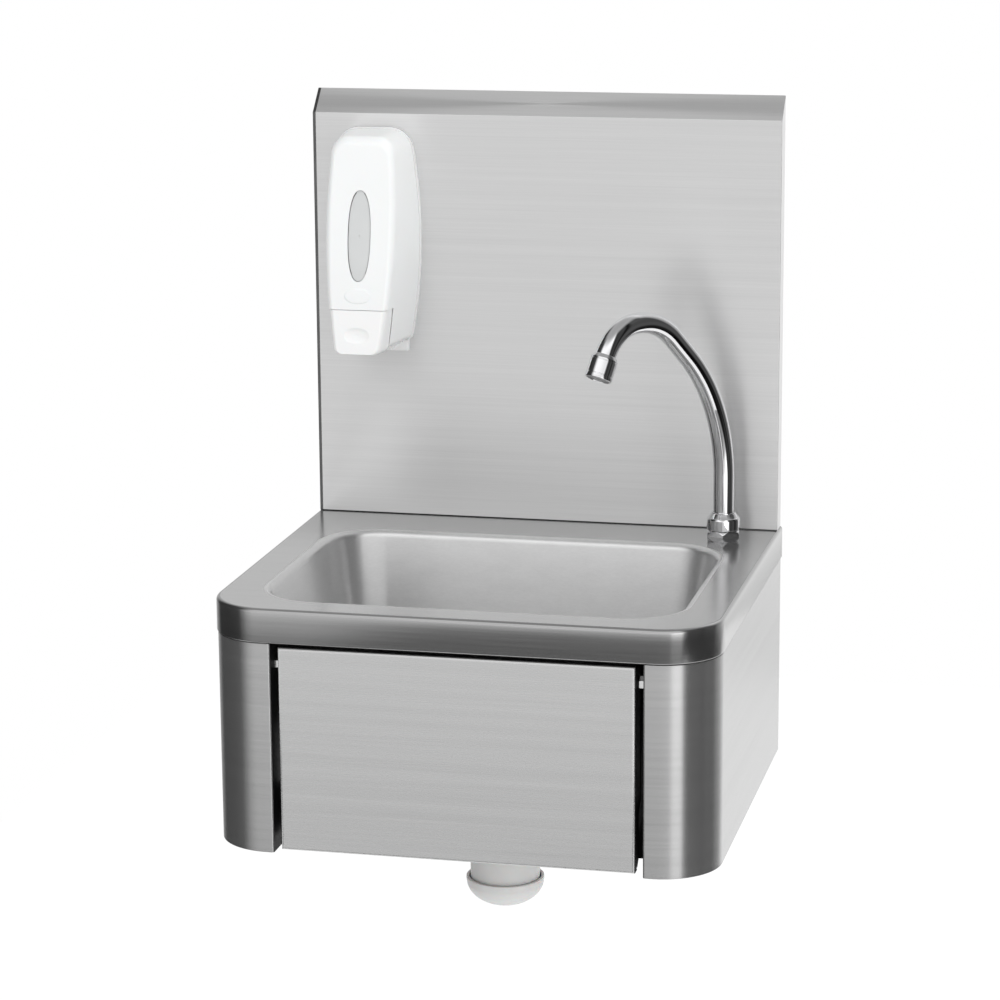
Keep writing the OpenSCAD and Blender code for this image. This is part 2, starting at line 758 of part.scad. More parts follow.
module mixing_screws() color("gainsboro") at_valve() for (x = nipple_x)
    translate([-x, -valve_port_y - tee_side / 2, 0]) rotate([90, 0, 0]) difference() {
        cylinder(r = 5, h = 3);
        translate([-0.7, -6, 1.6]) cube([1.4, 12, 3]);
    }

// Bar along the pipe from the valve to the tap: right, back under the bowl, then up
module riser_path(thick, past) {
    turn = [tap_x - pipe_bend, pipe_bend - valve_port_y, 0];
    rise = [tap_x, -tap_y - pipe_bend, pipe_bend];
    translate([riser_x - past, -valve_port_y, 0]) to_right() cylinder(r = thick, h = turn[0] - riser_x + past);
    translate(turn) rotate([0, 0, -90]) rotate_extrude(angle = 90) translate([pipe_bend, 0]) circle(thick);
    translate([tap_x, turn[1], 0]) to_wall() cylinder(r = thick, h = rise[1] - turn[1]);
    translate(rise) rotate([90, 0, 90]) rotate([0, 0, -90]) rotate_extrude(angle = 90)
        translate([pipe_bend, 0]) circle(thick);
    translate([tap_x, -tap_y, pipe_bend]) cylinder(r = thick, h = valve_z - tap_shank - pipe_bend + past);
}

module riser_pipe() color("silver") at_valve() difference() {
    riser_path(pipe_r, 0);
    riser_path(pipe_r - 1, 1);
}

// Compression nuts at the two ends of the riser pipe
module riser_nuts() color("goldenrod") {
    at_valve() translate([riser_x, -valve_port_y, 0]) to_right() nut_on_pipe();
    at_tap() translate([0, 0, -tap_shank]) rotate([180, 0, 0]) nut_on_pipe();
}

module nut_on_pipe() difference() {
    hex_z(19, 0, 11);
    tube_z(pipe_r, -1, 12);
}

module at_soap() at_rim() translate([-soap_x, 0, 0]) children();

// Barrel-shaped outline with round corners, widest at the belly
module barrel(half, low, high, belly, r) {
    steps = [0:16];
    function wide(y) = half * (1 - side_bow * pow((y - belly) / 100, 2));
    function up(i) = low + (high - low) * i / 16;
    right = [for (i = steps) [wide(up(i)), up(i)]];
    left = [for (i = steps) [-wide(up(16 - i)), up(16 - i)]];
    offset(r = r, $fn = 32) offset(delta = -r) polygon(concat(right, left));
}

// Outline of the dispenser from the front: soft shoulders above and tighter corners below
module soap_outline(half, low, high, belly) {
    barrel(half, low, high, belly, half * 0.5);
    intersection() {
        barrel(half, low, high, belly, 6);
        translate([-50, low]) square([100, (high - low) / 2]);
    }
}

// Carries a piece to the leaning front, with X to the right, Y up along it and Z out of it
module at_front() at_soap() translate([0, -soap_front, soap_low]) rotate([90 - soap_lean, 0, 0]) children();

// Solid form of the cover, drawn in at the sides and from the front, and let down at its underside
module soap_form(side, deep, drop) hull() {
    at_soap() translate([0, -hinge_y + 5.5, soap_low]) rotate([90, 0, 0]) linear_extrude(skin)
        soap_outline(soap_w / 2 - 1.3 - side, -drop, soap_high - soap_low - 1.2 - side, back_belly);
    for (s = front_sections) at_front() translate([0, 0, -s[0] - deep]) linear_extrude(skin)
        soap_outline(s[1] - side, s[2] - drop, s[3] - side, front_belly);
}

// Oval about the origin, with its half width and half height
module oval(wide, tall) polygon([for (a = [0:7.5:359]) [wide * cos(a), tall * sin(a)]]);

module at_window() at_front() translate([0, window_up, 0]) children();

// Carries a piece made along Z to the dispenser's screws, with Z towards the wall
module at_soap_fixings(y) at_soap() for (z = soap_fixings()) translate([0, -y, z]) to_wall() children();

// Block of the back plate that reaches forwards, given by its width, its front and its two heights
module plate_block(w, front, low, high)
    translate([-w / 2, -front, soap_low + low]) cube([w, front - splash_d, high - low]);

// Back plate with a shelf for the pump, a sill with two hinge ears, a foot and two guides for the bottle
module soap_plate() color("white") difference() {
    at_soap() union() {
        translate([0, -splash_d, soap_low]) rotate([90, 0, 0]) linear_extrude(plate_t)
            soap_outline(soap_w / 2, -1, soap_high - soap_low, back_belly);
        plate_block(38, 52, -5, 3);
        plate_block(47, 36, -2, 3);
        plate_block(54, 26, -10, -0.5);
        for (s = [-1, 1]) {
            translate([s * 24, 0, 0]) plate_block(2, 35, 2, 8.5);
            translate([s * 18, 0, 0]) plate_block(2, 29, 45, 125);
        }
    }
    at_soap_fixings(splash_d + plate_t + 2) cylinder(r = 2.3, h = 2 * plate_t);
    at_soap() translate([0, -nozzle_y, 0]) tube_z(nozzle_r + 0.1, soap_low - 10, soap_low + 10);
    for (s = [0, 1]) at_soap() mirror([s, 0, 0])
        translate([ear_x - 0.5, -hinge_y, hinge_z]) to_right() cylinder(r = pin_r + pin_fit, h = 5);
}

module soap_screws() color("silver") at_soap_fixings(splash_d + plate_t) {
    difference() {
        tube_z(4, -2.2, 0);
        translate([-2.4, -0.5, -3.2]) cube([4.8, 1, 2]);
        translate([-0.5, -2.4, -3.2]) cube([1, 4.8, 2]);
    }
    tube_z(2, -0.1, 12);
}

module soap_nuts() color("silver") at_soap_fixings(splash_d - sheet_t) difference() {
    hex_z(7, 0, 3.2);
    tube_z(2, -1, 5);
}

module at_bottle() at_soap() translate([0, -bottle_y, bottle_low_z]) children();

module soap_bottle() color("lightgray") at_bottle() difference() {
    union() {
        linear_extrude(bottle_h) rounded(bottle_w, bottle_d, 8);
        translate([0, 0, bottle_h]) cylinder(r1 = 14.8, r2 = 13, h = 6);
    }
    translate([0, 0, 2]) linear_extrude(bottle_h - 4) rounded(bottle_w - 3, bottle_d - 3, 6.5);
    tube_z(10, bottle_h - 3, bottle_h + 7);
    translate([0, bottle_y - nozzle_y, 0]) tube_z(3, -1, 3);
}

module bottle_cap() color("white") at_bottle() {
    difference() {
        union() {
            tube_z(13.5, bottle_h + 6, bottle_h + 9);
            tube_z(9.9, bottle_h, bottle_h + 6.1);
        }
        tube_z(8.4, bottle_h - 1, bottle_h + 7.5);
    }
    translate([-7, -1.2, bottle_h + 8.9]) cube([14, 2.4, 2]);
}

module pump_body() color("whitesmoke") at_soap() difference() {
    translate([0, -51, soap_low + 3]) linear_extrude(bottle_low_z - soap_low - 3) rounded(28, 30, 5);
    translate([0, -67, pump_z]) to_wall() cylinder(r = pump_bore, h = 23);
    translate([0, -nozzle_y, 0]) tube_z(2.5, soap_low, bottle_low_z + 1);
}

module pump_piston() color("white") at_soap() translate([0, -piston_y, pump_z]) to_wall() {
    cylinder(r = 7, h = 2);
    tube_z(piston_r, 1.9, 24);
}

module pump_spring() color("silver") at_soap() translate([0, 2.2 - piston_y, pump_z]) to_wall()
    spring(6, 0.4, 3, 6.6);

module soap_nozzle() color("lightgray") at_soap() translate([0, -nozzle_y, 0]) difference() {
    union() {
        tube_z(nozzle_r, nozzle_low + 2, soap_low + 3);
        translate([0, 0, nozzle_low]) cylinder(r1 = nozzle_r - 1.3, r2 = nozzle_r, h = 2.01);
    }
    tube_z(1.5, nozzle_low - 1, soap_low + 4);
}

module soap_cover() color("white") {
    difference() {
        soap_form(0, 0, 0);
        soap_form(wall_t, wall_t, 1.4);
        at_window() translate([0, 0, -20]) linear_extrude(30) oval(window_half, window_tall);
        at_soap() translate([-50, -100, 100]) cube([100, 100 - seam_y + lever_gap, seam_z - 100]);
        at_soap() difference() {
            translate([-50, -hinge_y, soap_low - 5]) cube([100, 10, hinge_z - soap_low + 5]);
            translate([-51, -hinge_y, hinge_z]) to_right() cylinder(r = hinge_eye_r, h = 102);
        }
        at_soap() cover_notch(53, 20, 40, 3.5);
        at_soap() cover_notch(46, 50, 80, 3);
    }
    at_front() translate([0, oval_up, -0.5]) linear_extrude(1.1) oval(oval_half[0], oval_half[1]);
    for (s = [0, 1]) at_soap() mirror([s, 0, 0]) {
        translate([ear_x - 0.3, -hinge_y, hinge_z]) to_right() cylinder(r = pin_r, h = 5.2);
        translate([ear_x, -lever_pin_y, lever_pin_z]) to_right() difference() {
            cylinder(r = ear_r, h = 3);
            translate([0, 0, -1]) cylinder(r = pin_r + pin_fit, h = 5);
        }
    }
}

// Room cut in the underside of the cover, given by its width, its two depths and its height
module cover_notch(w, back, front, high) translate([-w / 2, -front, soap_low - 5]) cube([w, front - back, high + 5]);

module soap_window() color("lightgray") {
    rim = 2.5;
    at_window() translate([0, 0, -wall_t - 0.2]) linear_extrude(1.4) oval(window_half - 0.15, window_tall - 0.15);
    at_window() translate([0, 0, -wall_t - 1.2]) linear_extrude(1.2) oval(window_half + rim, window_tall + rim);
}

module soap_lever() color("white") {
    side = wall_t + 0.6;
    difference() {
        intersection() {
            soap_form(side, 0, lever_drop);
            at_soap() translate([-50, -100, 100]) cube([100, 100 - seam_y, seam_z - lever_gap - 100]);
        }
        soap_form(side + wall_t, wall_t, lever_drop + 0.6);
        at_front() translate([0, thumb_up, thumb_r - thumb_deep]) sphere(thumb_r, $fn = 180);
    }
    at_soap() {
        translate([-plunger_w / 2, 0.8 - plunger_y - 14, pump_z - 1.5]) cube([plunger_w, 13.2, 3]);
        translate([-plunger_w / 2, -plunger_y, pump_z]) to_right() cylinder(r = 2, h = plunger_w);
    }
    for (s = [0, 1]) at_soap() mirror([s, 0, 0]) {
        translate([arm_x, -80, lever_pin_z - arm_r]) cube([arm_t, 80 - lever_pin_y, 2 * arm_r]);
        translate([arm_x, -lever_pin_y, lever_pin_z]) to_right() {
            cylinder(r = arm_r, h = arm_t);
            cylinder(r = pin_r, h = 4);
        }
    }
}

deck();
bowl();
splashback();
left_side();
right_side();
valve_rail();
strainer_seal();
strainer();
waste_seal();
waste_body();
waste_screw();
tail_pipe();
waste_nut();
inlet_nut();
trap_body();
trap_cup_seal();
trap_cup();
outlet_nut();
outlet_pipe();
tap_body();
tap_washer();
tap_locknut();
cap_nut();
spout();
spout_ring();
aerator();
aerator_insert();
knee_panel();
pivot_bolts();
pivot_nuts();
valve_body();
valve_locknut();
valve_button();
valve_spring();
mixing_tee();
mixing_screws();
riser_pipe();
riser_nuts();
soap_plate();
soap_screws();
soap_nuts();
soap_bottle();
bottle_cap();
pump_body();
pump_piston();
pump_spring();
soap_nozzle();
soap_cover();
soap_window();
soap_lever();
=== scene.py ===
"""Looks of the hand basin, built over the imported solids.

Lengths are in millimetres and heights are from the rim, unless a comment says otherwise.
"""

import math

import bmesh
import bpy
from mathutils import Matrix, Vector
from mathutils.geometry import tessellate_polygon


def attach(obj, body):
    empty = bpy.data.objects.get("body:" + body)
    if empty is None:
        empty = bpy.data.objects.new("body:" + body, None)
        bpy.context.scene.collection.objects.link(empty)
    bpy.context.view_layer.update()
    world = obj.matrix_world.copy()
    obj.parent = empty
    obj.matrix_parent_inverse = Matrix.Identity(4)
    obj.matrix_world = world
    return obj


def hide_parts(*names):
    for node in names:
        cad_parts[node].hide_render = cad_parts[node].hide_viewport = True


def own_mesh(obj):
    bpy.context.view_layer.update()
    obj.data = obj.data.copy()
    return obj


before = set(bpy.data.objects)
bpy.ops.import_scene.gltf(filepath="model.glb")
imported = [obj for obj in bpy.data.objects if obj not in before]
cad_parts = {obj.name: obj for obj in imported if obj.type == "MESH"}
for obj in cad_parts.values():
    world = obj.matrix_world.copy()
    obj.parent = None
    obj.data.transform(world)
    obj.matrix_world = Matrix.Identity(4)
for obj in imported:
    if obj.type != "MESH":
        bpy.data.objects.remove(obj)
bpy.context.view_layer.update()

MM = 0.001
RIM = 105                   # height of the rim above the frame's origin
WELD = 0.00001              # points nearer than this, in metres, are one


# Shader nodes

def new_material(name):
    """A material, its node tree, and its main shader."""
    mat = bpy.data.materials.new(name)
    mat.use_nodes = True
    return mat, mat.node_tree, mat.node_tree.nodes["Principled BSDF"]


def feed(tree, value, socket):
    """Feeds a socket from another node, or sets it to a plain value."""
    if isinstance(value, bpy.types.NodeSocket):
        tree.links.new(value, socket)
    else:
        socket.default_value = value


def object_coords(tree, scale):
    """Object coordinates, which are metres in the row frame, scaled per axis."""
    where = tree.nodes.new("ShaderNodeTexCoord")
    mapping = tree.nodes.new("ShaderNodeMapping")
    mapping.inputs["Scale"].default_value = scale
    tree.links.new(where.outputs["Object"], mapping.inputs["Vector"])
    return mapping.outputs["Vector"]


def separate(tree, vector):
    """The parts of a vector, by axis."""
    node = tree.nodes.new("ShaderNodeSeparateXYZ")
    tree.links.new(vector, node.inputs["Vector"])
    return node.outputs


def noise(tree, vector, detail, rough):
    """Value of a noise at a vector."""
    node = tree.nodes.new("ShaderNodeTexNoise")
    node.inputs["Scale"].default_value = 1
    node.inputs["Detail"].default_value = detail
    node.inputs["Roughness"].default_value = rough
    tree.links.new(vector, node.inputs["Vector"])
    return node.outputs["Fac"]


def rescale(tree, value, old, new=(0, 1), smooth=False, clamp=True):
    """Moves a number from an old range to a new one."""
    node = tree.nodes.new("ShaderNodeMapRange")
    node.interpolation_type = "SMOOTHSTEP" if smooth else "LINEAR"
    node.clamp = clamp
    node.inputs["From Min"].default_value, node.inputs["From Max"].default_value = old
    node.inputs["To Min"].default_value, node.inputs["To Max"].default_value = new
    tree.links.new(value, node.inputs["Value"])
    return node.outputs["Result"]


def worked_out(tree, operation, a, b):
    """Number worked out from two others."""
    node = tree.nodes.new("ShaderNodeMath")
    node.operation = operation
    feed(tree, a, node.inputs[0])
    feed(tree, b, node.inputs[1])
    return node.outputs["Value"]


def mixed(tree, blend, factor, a, b):
    """Colour mixed from two others."""
    node = tree.nodes.new("ShaderNodeMix")
    node.data_type = "RGBA"
    node.blend_type = blend
    feed(tree, factor, node.inputs["Factor"])
    feed(tree, a, node.inputs["A"])
    feed(tree, b, node.inputs["B"])
    return node.outputs["Result"]


def mix_shaders(tree, share, first, second, out):
    """Sends a mix of two shaders to an output node."""
    node = tree.nodes.new("ShaderNodeMixShader")
    tree.links.new(share, node.inputs["Fac"])
    tree.links.new(first, node.inputs[1])
    tree.links.new(second, node.inputs[2])
    tree.links.new(node.outputs["Shader"], out.inputs["Surface"])


NOISE_RANGE = (0.3, 0.7)    # where most values of a noise lie


def spread(tree, value, low, high):
    """Moves a noise to a range, which its rare values may leave."""
    return rescale(tree, value, NOISE_RANGE, (low, high), clamp=False)


def tint(tree, value, dark, light):
    """Colour between two others, by a noise."""
    ramp = tree.nodes.new("ShaderNodeValToRGB")
    for element, place, colour in zip(ramp.color_ramp.elements, NOISE_RANGE, (dark, light)):
        element.position = place
        element.color = (*colour, 1)
    tree.links.new(value, ramp.inputs["Fac"])
    return ramp.outputs["Color"]


def bump(tree, value, distance, normal=None):
    """Normal bent by a height; distance is in metres."""
    node = tree.nodes.new("ShaderNodeBump")
    node.inputs["Strength"].default_value = 1
    node.inputs["Distance"].default_value = distance
    tree.links.new(value, node.inputs["Height"])
    if normal is not None:
        tree.links.new(normal, node.inputs["Normal"])
    return node.outputs["Normal"]


def dress(tree, shader, colour, rough, normal):
    """Links the colour, roughness and normal of a surface."""
    tree.links.new(colour, shader.inputs["Base Color"])
    tree.links.new(rough, shader.inputs["Roughness"])
    tree.links.new(normal, shader.inputs["Normal"])


# Materials. The depth of a grain is in metres, its fineness in waves per metre.

def grey(v):
    return (v, v, v)


def plain_metal(name, dark, light, rough, grit=700, depth=2e-6):
    """Cast, plated or turned metal with a fine even grit."""
    mat, tree, shader = new_material(name)
    grain = noise(tree, object_coords(tree, grey(grit)), 3.0, 0.6)
    clouds = noise(tree, object_coords(tree, (35, 35, 35)), 3.0, 0.55)
    shader.inputs["Metallic"].default_value = 1.0
    dress(tree, shader, tint(tree, clouds, dark, light), spread(tree, grain, rough * 0.85, rough * 1.2),
          bump(tree, grain, depth))
    return mat


def moulded(name, dark, light, rough, depth=4e-6, coat=0.0, scatter=0.0):
    """Moulded plastic or rubber with a fine skin texture."""
    mat, tree, shader = new_material(name)
    grain = noise(tree, object_coords(tree, (450, 450, 450)), 3.0, 0.6)
    clouds = noise(tree, object_coords(tree, (22, 22, 22)), 3.0, 0.5)
    dress(tree, shader, tint(tree, clouds, dark, light), spread(tree, grain, rough * 0.96, rough * 1.05),
          bump(tree, grain, depth))
    shader.inputs["Coat Weight"].default_value = coat
    shader.inputs["Subsurface Weight"].default_value = scatter
    shader.inputs["Subsurface Scale"].default_value = 0.004
    return mat


STREAKS = 0.17                  # fineness of the broad streaks, as a share of the strokes'
WALL_SHADE_DEPTHS = (-0.17, -0.03)      # depths in metres between which the tone darkens to a painted shade near the wall
LEAN_ACROSS = (-0.13, 0.01)     # places across in metres between which the lean grows to all of it


def sheet_metal(name, tone, rough, grain, depth, lean=None, haze=0.86, back=1.0, stretch=0.5):
    """Brushed sheet with long fine strokes. Lean is two heights, between which the surface tips down more and
    more, and the drop there. Haze is the metallic share, back how much of the tone is left near the wall,
    where the tone darkens as a painted shade, and stretch how far reflections are drawn out across the
    strokes."""
    mat, tree, shader = new_material(name)
    shader.inputs["Metallic"].default_value = haze
    shader.inputs["Anisotropic"].default_value = stretch
    shader.inputs["Anisotropic Rotation"].default_value = 0.25
    around = tree.nodes.new("ShaderNodeTangent")
    around.direction_type = "RADIAL"
    around.axis = "Z"
    tree.links.new(around.outputs["Tangent"], shader.inputs["Tangent"])
    place = separate(tree, object_coords(tree, (1, 1, 1)))
    strokes = noise(tree, object_coords(tree, grain), 4.0, 0.7)
    streaks = noise(tree, object_coords(tree, tuple(g * STREAKS for g in grain)), 2.0, 0.5)
    brushed = mixed(tree, "MIX", 0.3, tint(tree, strokes, grey(tone - 0.035), grey(tone + 0.03)),
                    tint(tree, streaks, grey(tone - 0.05), grey(tone + 0.05)))
    # painted shade: the tone darkens towards the wall, by depth
    painted_wall_shade = rescale(tree, place["Y"], WALL_SHADE_DEPTHS, (1, back), smooth=True)
    normal = bump(tree, strokes, depth)
    if lean:
        low, high, drop = lean
        down = rescale(tree, place["Z"], ((high + RIM) * MM, (low + RIM) * MM))
        across = rescale(tree, place["X"], LEAN_ACROSS, (-0.4, -1.0), smooth=True)
        tip = worked_out(tree, "MULTIPLY", worked_out(tree, "POWER", down, 1.5), across)
        normal = bump(tree, tip, drop * MM, normal)
    dress(tree, shader, mixed(tree, "MULTIPLY", 1, brushed, painted_wall_shade),
          spread(tree, strokes, rough - 0.02, rough + 0.02), normal)
    return mat


MATERIALS = {
    "sheet_x": sheet_metal("sheet_grain_x", 0.72, 0.36, (7, 900, 900), 1.2e-6, stretch=0.85),
    "sheet_panel": sheet_metal("sheet_panel", 0.59, 0.27, (7, 900, 900), 1.2e-6),
    "sheet_side": sheet_metal("sheet_side", 0.50, 0.25, (9, 9, 1500), 1.2e-6),
    "sheet_y": sheet_metal("sheet_grain_y", 0.45, 0.24, (9, 9, 1500), 1.2e-6),
    # the deck's tone darkens near the wall as a painted shade
    "deck_top": sheet_metal("deck_satin", 0.65, 0.20, (9, 1500, 1500), 7e-7, back=0.72),
    "edge": sheet_metal("edge_satin", 0.43, 0.18, (9, 9, 1200), 6e-7, lean=(-27, -3, 3.0), haze=0.95),
    # painted shade for the gaps, the folds' undersides and returns, and the dark joint at the splashback's
    # foot
    "painted_shade_and_joint": plain_metal("painted_shade_and_joint", grey(0.035), grey(0.06), 0.6),
    # painted shade along the splashback's left edge
    "painted_edge_shade": plain_metal("painted_edge_shade", grey(0.10), grey(0.14), 0.3),
    "rail": plain_metal("rail_steel", grey(0.16), grey(0.22), 0.5),
    "bowl": sheet_metal("bowl_satin", 0.79, 0.31, (260, 260, 700), 7e-7),
    "polished": plain_metal("polished_steel", grey(0.66), grey(0.72), 0.16),
    "chrome": plain_metal("chrome_plate", (0.80, 0.80, 0.81), (0.85, 0.85, 0.86), 0.045, 300, 4e-7),
    "brass": plain_metal("turned_brass", (0.56, 0.41, 0.19), (0.66, 0.50, 0.26), 0.3),
    "pipe": plain_metal("chromed_pipe", grey(0.72), grey(0.8), 0.12),
    "zinc": plain_metal("zinc_steel", (0.55, 0.57, 0.6), (0.68, 0.69, 0.7), 0.33),
    "trap": moulded("white_polypropylene", (0.60, 0.605, 0.60), (0.64, 0.64, 0.635), 0.45, scatter=0.15),
    "rubber": moulded("black_rubber", grey(0.018), grey(0.035), 0.6, 1e-5),
    "grey_plastic": moulded("grey_plastic", grey(0.32), grey(0.38), 0.42),
    "white": moulded("white_gloss", grey(0.79), grey(0.805), 0.3, 6e-7, coat=0.1, scatter=0.05),
    "window": moulded("smoky_window", (0.54, 0.55, 0.55), (0.58, 0.59, 0.59), 0.3),
    # painted shade round the window's recess and along the cover's edge on the back plate
    "painted_rim_shade": moulded("painted_rim_shade", grey(0.22), grey(0.27), 0.35),
    "white_matt": moulded("white_plastic", grey(0.78), grey(0.83), 0.4),
    "bottle": moulded("milky_plastic", (0.68, 0.69, 0.67), (0.75, 0.76, 0.74), 0.35, scatter=0.3),
}

CAD_LOOKS = {
    "rail": ["valve_rail"],
    "polished": ["strainer", "waste_screw", "pivot_bolts", "pivot_nuts"],
    "brass": ["tap_locknut", "valve_body", "valve_locknut", "mixing_tee", "riser_nuts"],
    "pipe": ["riser_pipe"],
    "zinc": ["mixing_screws", "soap_screws", "soap_nuts"],
    "white": ["soap_plate"],
    "trap": ["waste_body", "tail_pipe", "waste_nut", "inlet_nut", "outlet_nut", "outlet_pipe"],
    "rubber": ["strainer_seal", "waste_seal", "trap_cup_seal", "tap_washer", "spout_ring"],
    "grey_plastic": ["aerator_insert", "valve_button"],
    "white_matt": ["bottle_cap", "pump_body", "pump_piston", "soap_nozzle"],
    "bottle": ["soap_bottle"],
}
SOFTENED = [
    "valve_rail", "valve_body", "mixing_tee", "waste_body", "waste_nut", "inlet_nut", "outlet_nut",
    "pivot_nuts", "pivot_bolts", "bottle_cap", "pump_body", "tap_locknut", "valve_locknut", "riser_nuts",
    "soap_screws",
]


def soften(piece, radius, segments, angle):
    """Rounds the edges of a piece that turn by more than an angle in degrees."""
    soft = piece.modifiers.new("soft edges", "BEVEL")
    soft.width = radius * MM
    soft.segments = segments
    soft.limit_method = "ANGLE"
    soft.angle_limit = math.radians(angle)
    return soft


for look, names in CAD_LOOKS.items():
    for name in names:
        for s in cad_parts[name].material_slots:
            s.material = MATERIALS[look]
for name in SOFTENED:
    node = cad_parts[name]
    node.modifiers.new("weld", "WELD").merge_threshold = WELD
    soften(node, 0.4, 2, 40).harden_normals = True


# Building of mesh pieces

def add_piece(name, body, shape, looks, node=None, sharp=32, thick=0, edge=0, choose=None):
    """Adds a mesh piece that rides on a body and stands for a CAD node. Shape is its points and faces, sharp
    the angle in degrees from which its edges stay sharp, thick the sheet it is made of, and edge the radius
    of its edges. Choose picks a look for each face by its centre in metres and its normal."""
    points, faces = shape
    mesh = bpy.data.meshes.new(name)
    mesh.from_pydata([(x * MM, y * MM, (z + RIM) * MM) for x, y, z in points], [], faces)
    work = bmesh.new()
    work.from_mesh(mesh)
    bmesh.ops.remove_doubles(work, verts=work.verts, dist=WELD)
    bmesh.ops.recalc_face_normals(work, faces=work.faces)
    work.to_mesh(mesh)
    work.free()
    for look in looks:
        mesh.materials.append(MATERIALS[look])
    for face in mesh.polygons:
        face.use_smooth = True
        if choose:
            face.material_index = choose(face.center, face.normal)
    mesh.set_sharp_from_angle(angle=math.radians(sharp))
    piece = bpy.data.objects.new(name, mesh)
    bpy.context.scene.collection.objects.link(piece)
    if thick:
        sheet = piece.modifiers.new("sheet", "SOLIDIFY")
        sheet.thickness = thick * MM
        sheet.offset = -1
    if edge:
        soften(piece, edge, 3, sharp)
    piece.modifiers.new("shading", "WEIGHTED_NORMAL").keep_sharp = True
    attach(piece, body)
    if node:
        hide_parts(node)
    return piece


def loft(rings, closed=True, caps=False):
    """Points and faces through rings of equally many points."""
    n = len(rings[0])
    points = [p for ring in rings for p in ring]
    faces = []
    for i in range(len(rings) - 1):
        for j in range(n if closed else n - 1):
            k = (j + 1) % n
            faces.append((i * n + j, i * n + k, (i + 1) * n + k, (i + 1) * n + j))
    if caps:
        faces.append(tuple(range(n)))
        faces.append(tuple((len(rings) - 1) * n + j for j in range(n)))
    return points, faces


def joined(*shapes):
    """Several shapes as one."""
    points = []
    faces = []
    for more, loops in shapes:
        faces += [tuple(len(points) + k for k in loop) for loop in loops]
        points += more
    return points, faces


def mirrored(shape):
    """The shape on the other side of the middle."""
    points, faces = shape
    return [(-x, y, z) for x, y, z in points], faces


def moved(shape, matrix):
    """The shape carried by a matrix."""
    points, faces = shape
    return [tuple(matrix @ Vector(p)) for p in points], faces


def arc(cx, cy, r, start, end, steps):
    """Points on an arc between two angles in degrees."""
    out = []
    for i in range(steps + 1):
        a = math.radians(start + (end - start) * i / steps)
        out.append((cx + r * math.cos(a), cy + r * math.sin(a)))
    return out


def circle(r, steps):
    """Points round a circle about the origin."""
    return arc(0, 0, r, 0, 360 - 360 / steps, steps - 1)


def quarter(steps):
    """Sine and cosine at each step of a quarter turn."""
    return [(math.sin(a), math.cos(a)) for a in (math.radians(90 * i / steps) for i in range(steps + 1))]


CORNER_STEPS = 14


def round_rect(w, d, r):
    """Points round a rectangle with round corners about the origin."""
    points = []
    for q, (sx, sy) in enumerate(((1, 1), (-1, 1), (-1, -1), (1, -1))):
        points += arc(sx * (w / 2 - r), sy * (d / 2 - r), r, 90 * q, 90 * q + 90, CORNER_STEPS)
    return points


def lathe(profile):
    """Turned shape about Z through points of radius and height."""
    return loft([[(x, y, z) for x, y in circle(r, 72)] for r, z in profile])


# Deck, bowl and sheets

SHEET = 1.2                 # thickness of the folded sheets
BASIN_HALF = 200
BASIN_FRONT = 350
RIM_CORNER = 48
FOLD_FOOT = -26.9           # faces of the folded edge lower than this are its underside
BOWL_WIDE = 340             # the deck's opening for the bowl
BOWL_LONG = 246
BOWL_CORNER = 50
BOWL_Y = -200
WASTE_Y = -180


def rim_line(inset, z):
    """Line round the rim from the wall at the left to the wall at the right."""
    half = BASIN_HALF - RIM_CORNER
    front = RIM_CORNER - BASIN_FRONT
    left = [(inset - BASIN_HALF, y) for y in (0, -100, -200)]
    left += arc(-half, front, RIM_CORNER - inset, 180, 270, 20)
    left += [(x, inset - BASIN_FRONT) for x in (-100, -50)]
    line = left + [(0, inset - BASIN_FRONT)] + [(-x, y) for x, y in reversed(left)]
    return [(x, y, z) for x, y in line]


def deck_look(centre, normal):
    """Look of a face of the deck: the top, the folded edge or the underside, which is painted dark as shade.
    """
    if centre.z > (RIM - 0.05) * MM:
        return 0
    return 2 if centre.z < (RIM + FOLD_FOOT) * MM else 1


def make_deck():
    """Deck with its folded edge and the opening for the bowl."""
    outer = [(3 - 3 * s, -3 + 3 * c) for s, c in quarter(6)]
    outer += [(0, -10), (0, -18)]
    outer += [(1.5 - 1.5 * c, -26.1 - 1.5 * s) for s, c in quarter(4)]
    inner = [(12, -27.6), (12, -26.4), (1.7, -26.4), (SHEET, -25.9), (SHEET, -3), (3, -SHEET)]
    edge = loft([rim_line(inset, z) for inset, z in outer + inner], closed=False)
    plates = []
    for z in (0, -SHEET):
        outside = [Vector(p) for p in rim_line(3, z)]
        hole = [Vector((x, y + BOWL_Y, z)) for x, y in round_rect(BOWL_WIDE, BOWL_LONG, BOWL_CORNER)]
        plates.append(([tuple(p) for p in outside + hole], tessellate_polygon([outside, hole])))
    add_piece("deck_sheet", "basin", joined(edge, *plates), ["deck_top", "edge", "painted_shade_and_joint"],
              "deck", choose=deck_look)


